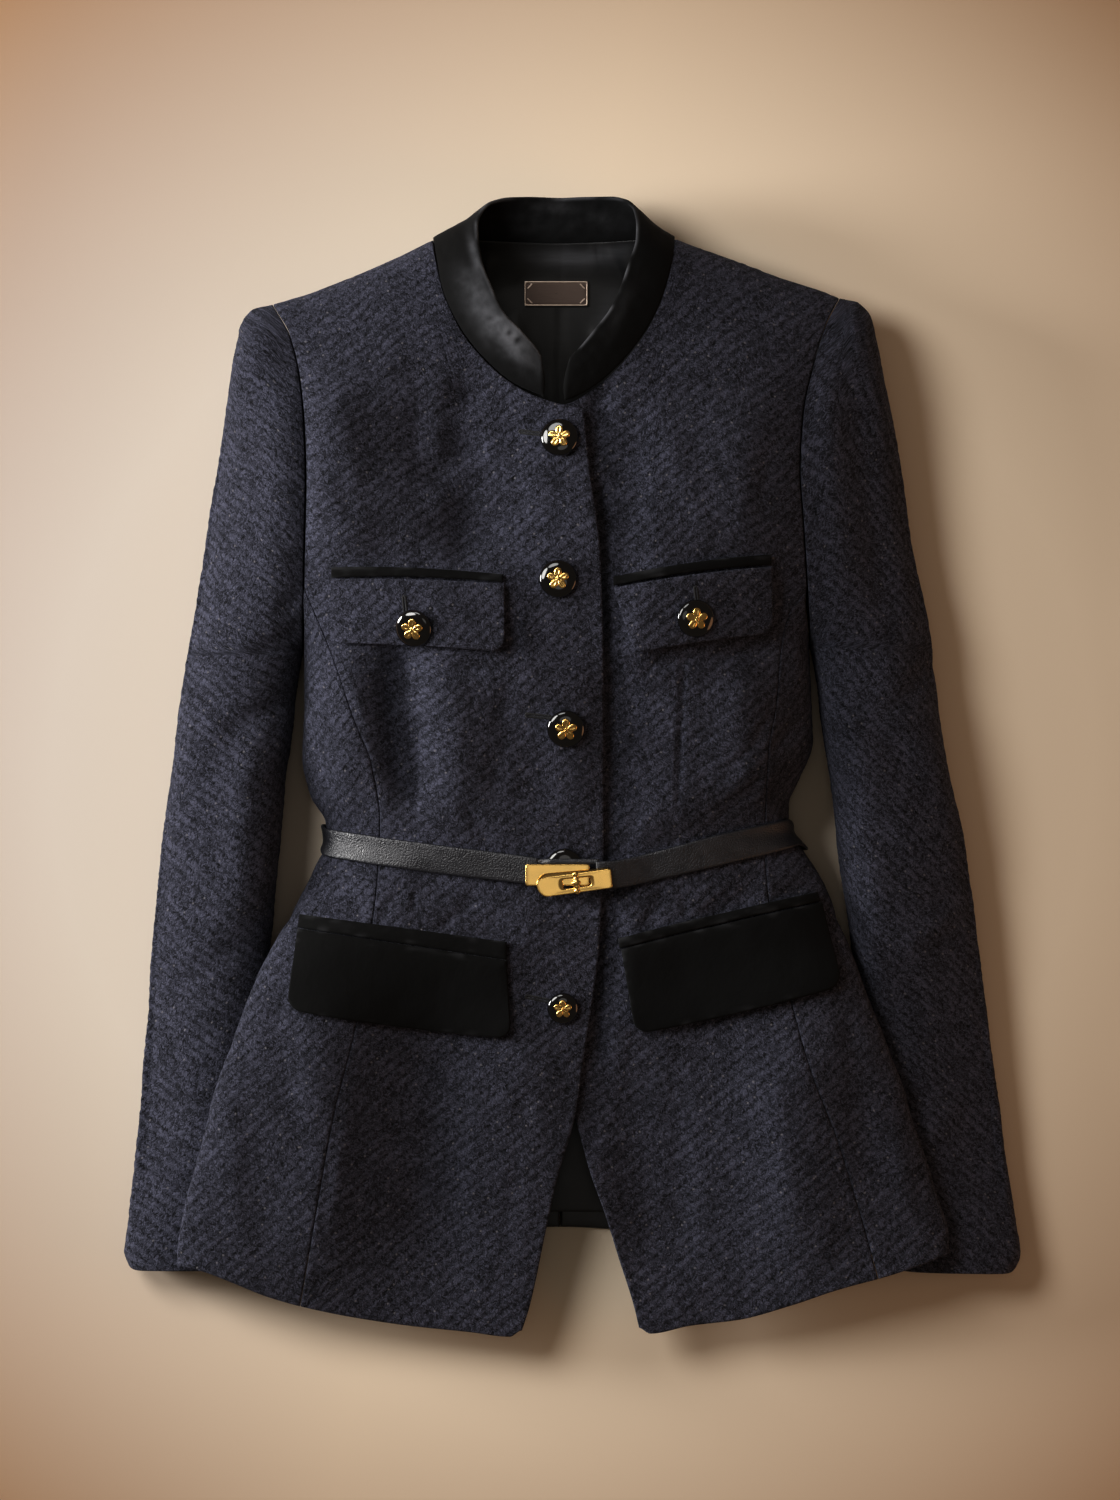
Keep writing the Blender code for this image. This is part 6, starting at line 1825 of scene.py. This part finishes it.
# The toggle's outline from one end to the other: share of its length, radius
TOGGLE_PROFILE = (
    Bead(0.0, 0.05), Bead(0.02, 1.0), Bead(0.07, 1.75), Bead(0.13, 2.05), Bead(0.19, 1.75),
    Bead(0.235, 1.05), Bead(0.27, 1.2), Bead(0.30, 1.8), Bead(0.34, 1.9), Bead(0.38, 1.6),
    Bead(0.41, 2.1), Bead(0.46, 2.8), Bead(0.5, 3.0), Bead(0.54, 2.8), Bead(0.59, 2.1),
    Bead(0.62, 1.6), Bead(0.66, 1.9), Bead(0.70, 1.8), Bead(0.73, 1.2), Bead(0.765, 1.05),
    Bead(0.81, 1.75), Bead(0.87, 2.05), Bead(0.93, 1.75), Bead(0.98, 1.0), Bead(1.0, 0.05),
)
POST_RADIUS = 2.0
POST_MIDDLE = 0.02
FRONT_TAPER = 0.28
FRONT_SLOPES = (3.4, 1.2)  # of the upper plate's long sides, at its left and its right end
BASE_EDGE = 0.7
BASE_CROWN = 0.1
FRONT_EDGE = 0.5
FRONT_CROWN = 0.12


def plate_outline(plate, inset, angle):
    """Points round a plate at these angles from its middle, drawn in by the inset."""
    half_x = plate.length / 2 - inset
    half_y = plate.width / 2 - inset
    dense = []
    for side_x, side_y, radius, first in (
        (1, 1, plate.right_radius, 0),
        (-1, 1, plate.left_radius, 90),
        (-1, -1, plate.left_radius, 180),
        (1, -1, plate.right_radius, 270),
    ):
        radius = max(radius - inset, LEAST_RADIUS)
        turn = np.radians(np.linspace(first, first + 90, CORNER_STEPS))
        x = side_x * (half_x - radius) + radius * np.cos(turn)
        y = side_y * (half_y - radius) + radius * np.sin(turn)
        dense.append(np.stack([x, y], axis=-1))
    dense = np.concatenate(dense)
    turn = np.unwrap(np.arctan2(dense[:, 1], dense[:, 0]))
    at = turn[0] + np.mod(angle - turn[0], 2 * math.pi)
    corner_x = np.interp(at, [*turn, turn[0] + 2 * math.pi], [*dense[:, 0], dense[0, 0]])
    corner_y = np.interp(at, [*turn, turn[0] + 2 * math.pi], [*dense[:, 1], dense[0, 1]])
    return np.stack([corner_x, corner_y], axis=-1)


def plate_rings(plate, low, high, edge, crown, hole=None, chamfer=(0, 0)):
    """Closed rings of a plate with rounded edges: up its side, over its top and back underneath.

    Its upper side may slope, by these amounts at its left and its right end.
    """
    dense = np.linspace(0, 2 * math.pi, PLATE_SAMPLES, endpoint=False)
    outer = plate_outline(plate, 0, dense)
    length = np.cumsum(np.linalg.norm(np.diff(outer, axis=0, append=outer[:1]), axis=1))
    angle = dense[np.searchsorted(length, np.linspace(0, length[-1], PLATE_SIDES, endpoint=False))]
    rings = []

    def add(x_and_y, z):
        share = x_and_y[:, 0] / plate.length + 0.5
        slope = chamfer[0] + (chamfer[1] - chamfer[0]) * share
        raised = min(max((z - low) / (high - low), 0), 1)
        y = x_and_y[:, 1] - slope * raised * np.clip(x_and_y[:, 1] / (plate.width / 4) - 1, 0, 1)
        rings.append(np.stack([x_and_y[:, 0], y, np.full(PLATE_SIDES, z)], axis=-1))

    add(plate_outline(plate, UNDER_BEVEL, angle), low)
    add(plate_outline(plate, 0, angle), low + UNDER_BEVEL)
    for turn in np.radians(EDGE_TURNS):
        add(plate_outline(plate, edge * (1 - math.cos(turn)), angle), high - edge + edge * math.sin(turn))
    rim = plate_outline(plate, edge, angle)
    if hole is None:
        inner = rim * FACE_MIDDLE
    else:
        inner = plate_outline(hole, -HOLE_BEVEL, angle) + (hole.x - plate.x, hole.y - plate.y)
    for share in FACE_SHARES:
        add(rim + (inner - rim) * share, high + crown * ease(share))
    if hole is not None:
        wall = plate_outline(hole, 0, angle) + (hole.x - plate.x, hole.y - plate.y)
        add(wall, high + crown - HOLE_DROP)
        add(wall, low)
        rings.append(rings[0])
    return np.array(rings)


def placed(rings, place, turn, floor_z):
    """Rings turned about their own middle and moved to their place on the jacket."""
    points = rings.reshape(-1, 3)
    x = place.x + points[:, 0] * math.cos(turn) - points[:, 1] * math.sin(turn)
    y = place.y + points[:, 0] * math.sin(turn) + points[:, 1] * math.cos(turn)
    return np.stack([x, y, points[:, 2] + floor_z], axis=-1)


def plate_part(rings, place, turn, floor_z):
    """(points, quads) of a plate's rings at their place on the jacket."""
    return placed(rings, place, turn, floor_z), ring_quads(len(rings), PLATE_SIDES)


def make_clasp(floor_z):
    """The base plate, the thick slotted plate over it and the beaded toggle that turns above the slot."""
    upright = Point(CLASP_PLACE.x + BASE.x, CLASP_PLACE.y + BASE.y)
    rings = plate_rings(BASE, 0, PLATE_THICK, BASE_EDGE, BASE_CROWN)
    hard_part("clasp_base_gold", "clasp_base", "gold", "gold", plate_part(rings, upright, 0, floor_z))
    low = PLATE_THICK + RUNNING_GAP
    high = low + PLATE_THICK
    rings = plate_rings(FRONT, low, high, FRONT_EDGE, FRONT_CROWN, SLOT, FRONT_SLOPES)
    rings[..., 1] *= np.where(rings[..., 1] < 0, 1 - FRONT_TAPER * rings[..., 0] / FRONT.length, 1)
    front = plate_part(rings, turned_place(FRONT.x, FRONT.y), CLASP_TURN, floor_z)
    hard_part("clasp_plate_gold", "clasp_plate", "gold", "gold", front)
    make_toggle(low, high, floor_z)


def make_toggle(low, high, floor_z):
    """The beaded bar above the slot and the post that it turns on."""
    profile = np.array(TOGGLE_PROFILE)
    angle = np.linspace(0, 2 * math.pi, TOGGLE_SIDES, endpoint=False)
    bar_middle = high + RUNNING_GAP + TOGGLE_SQUASH * profile[:, 1].max()
    bar = np.stack(
        [
            profile[:, 1:] * np.cos(angle),
            (profile[:, :1] - 0.5) * TOGGLE_LENGTH + 0 * angle,
            bar_middle + TOGGLE_SQUASH * profile[:, 1:] * np.sin(angle),
        ],
        axis=-1,
    )
    post = np.array(
        [(POST_MIDDLE, low), (POST_RADIUS, low), (POST_RADIUS, bar_middle), (POST_MIDDLE, bar_middle)]
    )
    radius = post[:, :1]
    stem = np.stack([radius * np.cos(angle), radius * np.sin(angle), post[:, 1:] + 0 * angle], axis=-1)
    middle = turned_place(*TOGGLE_PLACE)
    hard_part(
        "clasp_toggle_gold",
        "clasp_toggle",
        "gold",
        "gold",
        (placed(bar, middle, CLASP_TURN, floor_z), ring_quads(len(profile), TOGGLE_SIDES)[:, ::-1]),
        (placed(stem, middle, CLASP_TURN, floor_z), ring_quads(len(post), TOGGLE_SIDES)),
    )


def turned_place(x, y):
    """A place in the clasp's turned frame, on the jacket."""
    return Point(
        CLASP_PLACE.x + x * math.cos(CLASP_TURN) - y * math.sin(CLASP_TURN),
        CLASP_PLACE.y + x * math.sin(CLASP_TURN) + y * math.cos(CLASP_TURN),
    )


LABEL_PLACE = Point(-10.5, 304)
LABEL = Plate(0, 0, 41, 16, 0.5, 0.5)
LABEL_FIELD = Plate(0, 0, 38.6, 13.6, 0.4, 0.4)
LABEL_CORNER = Plate(0, 0, 4.6, 0.9, 0.4, 0.4)
LABEL_CORNER_X = 16.9
LABEL_CORNER_Y = 4.7
# Each part's lower side, upper side, and the radius of its upper edge
LABEL_FRAME_BUILD = (0, 1.2, 0.35)
LABEL_CORNER_BUILD = (0.85, 1.25, 0.2)
LABEL_FIELD_BUILD = (0.1, 0.85, 0.1)


def make_label():
    """A bare plate in a thin metal frame, with a short plain bar across each corner."""
    floor_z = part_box("label")[0][2] / MM
    rings = plate_rings(LABEL, *LABEL_FRAME_BUILD, 0, LABEL_FIELD)
    parts = [plate_part(rings, LABEL_PLACE, 0, floor_z)]
    rings = plate_rings(LABEL_CORNER, *LABEL_CORNER_BUILD, 0)
    for side_x, side_y in ((-1, 1), (1, 1), (1, -1), (-1, -1)):
        place = Point(LABEL_PLACE.x + side_x * LABEL_CORNER_X, LABEL_PLACE.y + side_y * LABEL_CORNER_Y)
        parts.append(plate_part(rings, place, math.radians(-45 * side_x * side_y), floor_z))
    hard_part("label_frame", "label", "bronze", "pale_bronze", *parts)
    rings = plate_rings(LABEL_FIELD, *LABEL_FIELD_BUILD, 0)
    hard_part("label_plate", "label", "bronze", "bronze", plate_part(rings, LABEL_PLACE, 0, floor_z))


# ---------------------------------------------------------------- buttonholes
Stitched = namedtuple("Stitched", "cloth x1 y1 x2 y2")
BUTTONHOLES = (
    Stitched("front_left_cloth", -33, 213, -18, 211),
    Stitched("front_left_cloth", -29, 32.5, -14, 31),
    Stitched("front_left_cloth", -29, -147, -14, -150),
    Stitched("chest_flap_left_cloth", -107, 107, -106, 97),
    Stitched("chest_flap_right_cloth", 78, 113, 79, 105),
)
HOLE_HALF = 0.85  # half the width of a slit with its stitches
HOLE_THREAD = 0.6
HOLE_STITCH = 0.9
HOLE_DIP = 0.15  # how much thinner the thread is between two stitches, as a share
HOLE_SPREAD = 1.3  # how much broader than high it is
HOLE_RISE = 0.15
HOLE_STEPS = 160
HOLE_SIDES = 8
ABOVE_ALL = 0.2  # metres


def round_slit(start, forward, length, s):
    """(point, outward direction) a length s round a slit."""
    aside = np.array((-forward[1], forward[0]))
    end_round = math.pi * HOLE_HALF
    if s < length:
        return start + forward * s - aside * HOLE_HALF, -aside
    if s < length + end_round:
        turn = (s - length) / HOLE_HALF
        out = forward * math.sin(turn) - aside * math.cos(turn)
        return start + forward * length + out * HOLE_HALF, out
    if s < 2 * length + end_round:
        return start + forward * (2 * length + end_round - s) + aside * HOLE_HALF, aside
    turn = (s - 2 * length - end_round) / HOLE_HALF
    out = aside * math.cos(turn) - forward * math.sin(turn)
    return start + out * HOLE_HALF, out


def make_buttonholes():
    """Worked buttonholes: a slit with close stitches round it, sunk a little into the cloth."""
    parts = []
    angle = np.linspace(0, 2 * math.pi, HOLE_SIDES, endpoint=False)
    quads = ring_quads(HOLE_STEPS + 1, HOLE_SIDES) % (HOLE_STEPS * HOLE_SIDES)
    for hole in BUTTONHOLES:
        mesh = bpy.data.objects[hole.cloth].data
        cloth = BVHTree.FromPolygons([v.co for v in mesh.vertices], [p.vertices[:] for p in mesh.polygons])
        start = np.array((hole.x1, hole.y1), float)
        forward = np.array((hole.x2, hole.y2), float) - start
        length = np.linalg.norm(forward)
        forward /= length
        points = []
        for s in np.linspace(0, 2 * length + 2 * math.pi * HOLE_HALF, HOLE_STEPS, endpoint=False):
            centre, out = round_slit(start, forward, length, s)
            hit = cloth.ray_cast(Vector((centre[0] * MM, centre[1] * MM, ABOVE_ALL)), Vector((0, 0, -1)))[0]
            radius = HOLE_THREAD * (1 - HOLE_DIP + HOLE_DIP * math.cos(2 * math.pi * s / HOLE_STITCH))
            ring = centre + np.multiply.outer(radius * HOLE_SPREAD * np.cos(angle), out)
            z = hit.z / MM + HOLE_RISE + radius * np.sin(angle)
            points.append(np.concatenate([ring, z[:, None]], axis=1))
        parts.append((np.concatenate(points), quads))
    made = mesh_piece("buttonholes", *gathered(parts), [MATERIALS["thread"]])
    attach(made, body_of("front_left"))


# ---------------------------------------------------------------- the whole jacket
make_fronts()
make_backs()
for side in (LEFT, RIGHT):
    make_side(side)
    make_sleeve(side)
make_collar()
make_lining()
for flap in FLAPS + WELTS:
    make_flap(flap, FLAP_STEP)
for button in BUTTONS:
    make_button(button)
clasp_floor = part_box("clasp_base")[0][2] / MM
make_belt(clasp_floor - LEFT_END_DROP, clasp_floor + RIGHT_END_RISE)
make_clasp(clasp_floor)
make_label()
make_buttonholes()

# ---------------------------------------------------------------- floor, light and camera
FLOOR_Z = -0.3
FLOOR_REACH = 2500
CHEST = (0, 0, 0.03)  # where the main lights are aimed, in metres


def add_floor():
    """A wide flat floor just under the jacket."""
    corners = [(x * FLOOR_REACH, y * FLOOR_REACH, FLOOR_Z) for x, y in ((-1, -1), (1, -1), (1, 1), (-1, 1))]
    made = mesh_piece("floor", np.array(corners, float), np.array([[0, 1, 2, 3]]), [MATERIALS["floor"]])


def add_light(name, place, aim, size, power, colour, glints_only=False):
    """A round soft light. One that makes glints only doesn't brighten matt surfaces."""
    light = bpy.data.lights.new(name, "AREA")
    light.shape = "DISK"
    light.size = size
    light.energy = power
    light.color = colour
    made = bpy.data.objects.new(name, light)
    made.location = place
    made.rotation_euler = (Vector(aim) - Vector(place)).to_track_quat("-Z", "Y").to_euler()
    made.visible_diffuse = not glints_only
    bpy.context.scene.collection.objects.link(made)


CAMERA_PLACE = (-0.008, 0.01024, 6.0)
CAMERA_LENS = 223.5
CAMERA_SENSOR = 36
CAMERA_END = 20


def add_camera():
    """A long lens, straight above the jacket."""
    camera = bpy.data.cameras.new("camera")
    camera.lens = CAMERA_LENS
    camera.sensor_width = CAMERA_SENSOR
    camera.clip_end = CAMERA_END
    made = bpy.data.objects.new("camera", camera)
    made.location = CAMERA_PLACE
    bpy.context.scene.collection.objects.link(made)
    bpy.context.scene.camera = made


def add_world(strength, colour):
    """An even light from all round."""
    world = bpy.data.worlds.new("studio")
    world.use_nodes = True
    background = world.node_tree.nodes["Background"]
    background.inputs["Color"].default_value = (*colour, 1)
    background.inputs["Strength"].default_value = strength
    bpy.context.scene.world = world


add_floor()
add_light("key", (-1.36, 0.80, 1.65), CHEST, 1.1, 29.5, (1.0, 0.985, 0.96))
add_light("rake", (-2.2, 0.35, 0.55), CHEST, 0.8, 60, (1.0, 0.99, 0.98))
add_light("window", (-0.45, 1.35, 1.6), CHEST, 0.8, 8, (1.0, 0.99, 0.98), glints_only=True)
add_light("card", (0, 0, 8.0), (0, 0, 0), 2.4, 12, (1.0, 0.98, 0.95))
add_light("bounce", (1.6, -0.45, 0.6), (0.25, -0.1, 0), 1.0, 4.5, (1.0, 0.52, 0.27))
add_world(0.14, (1.0, 0.82, 0.64))
bpy.context.scene.view_settings.view_transform = "Standard"
bpy.context.scene.view_settings.gamma = 0.8
add_camera()
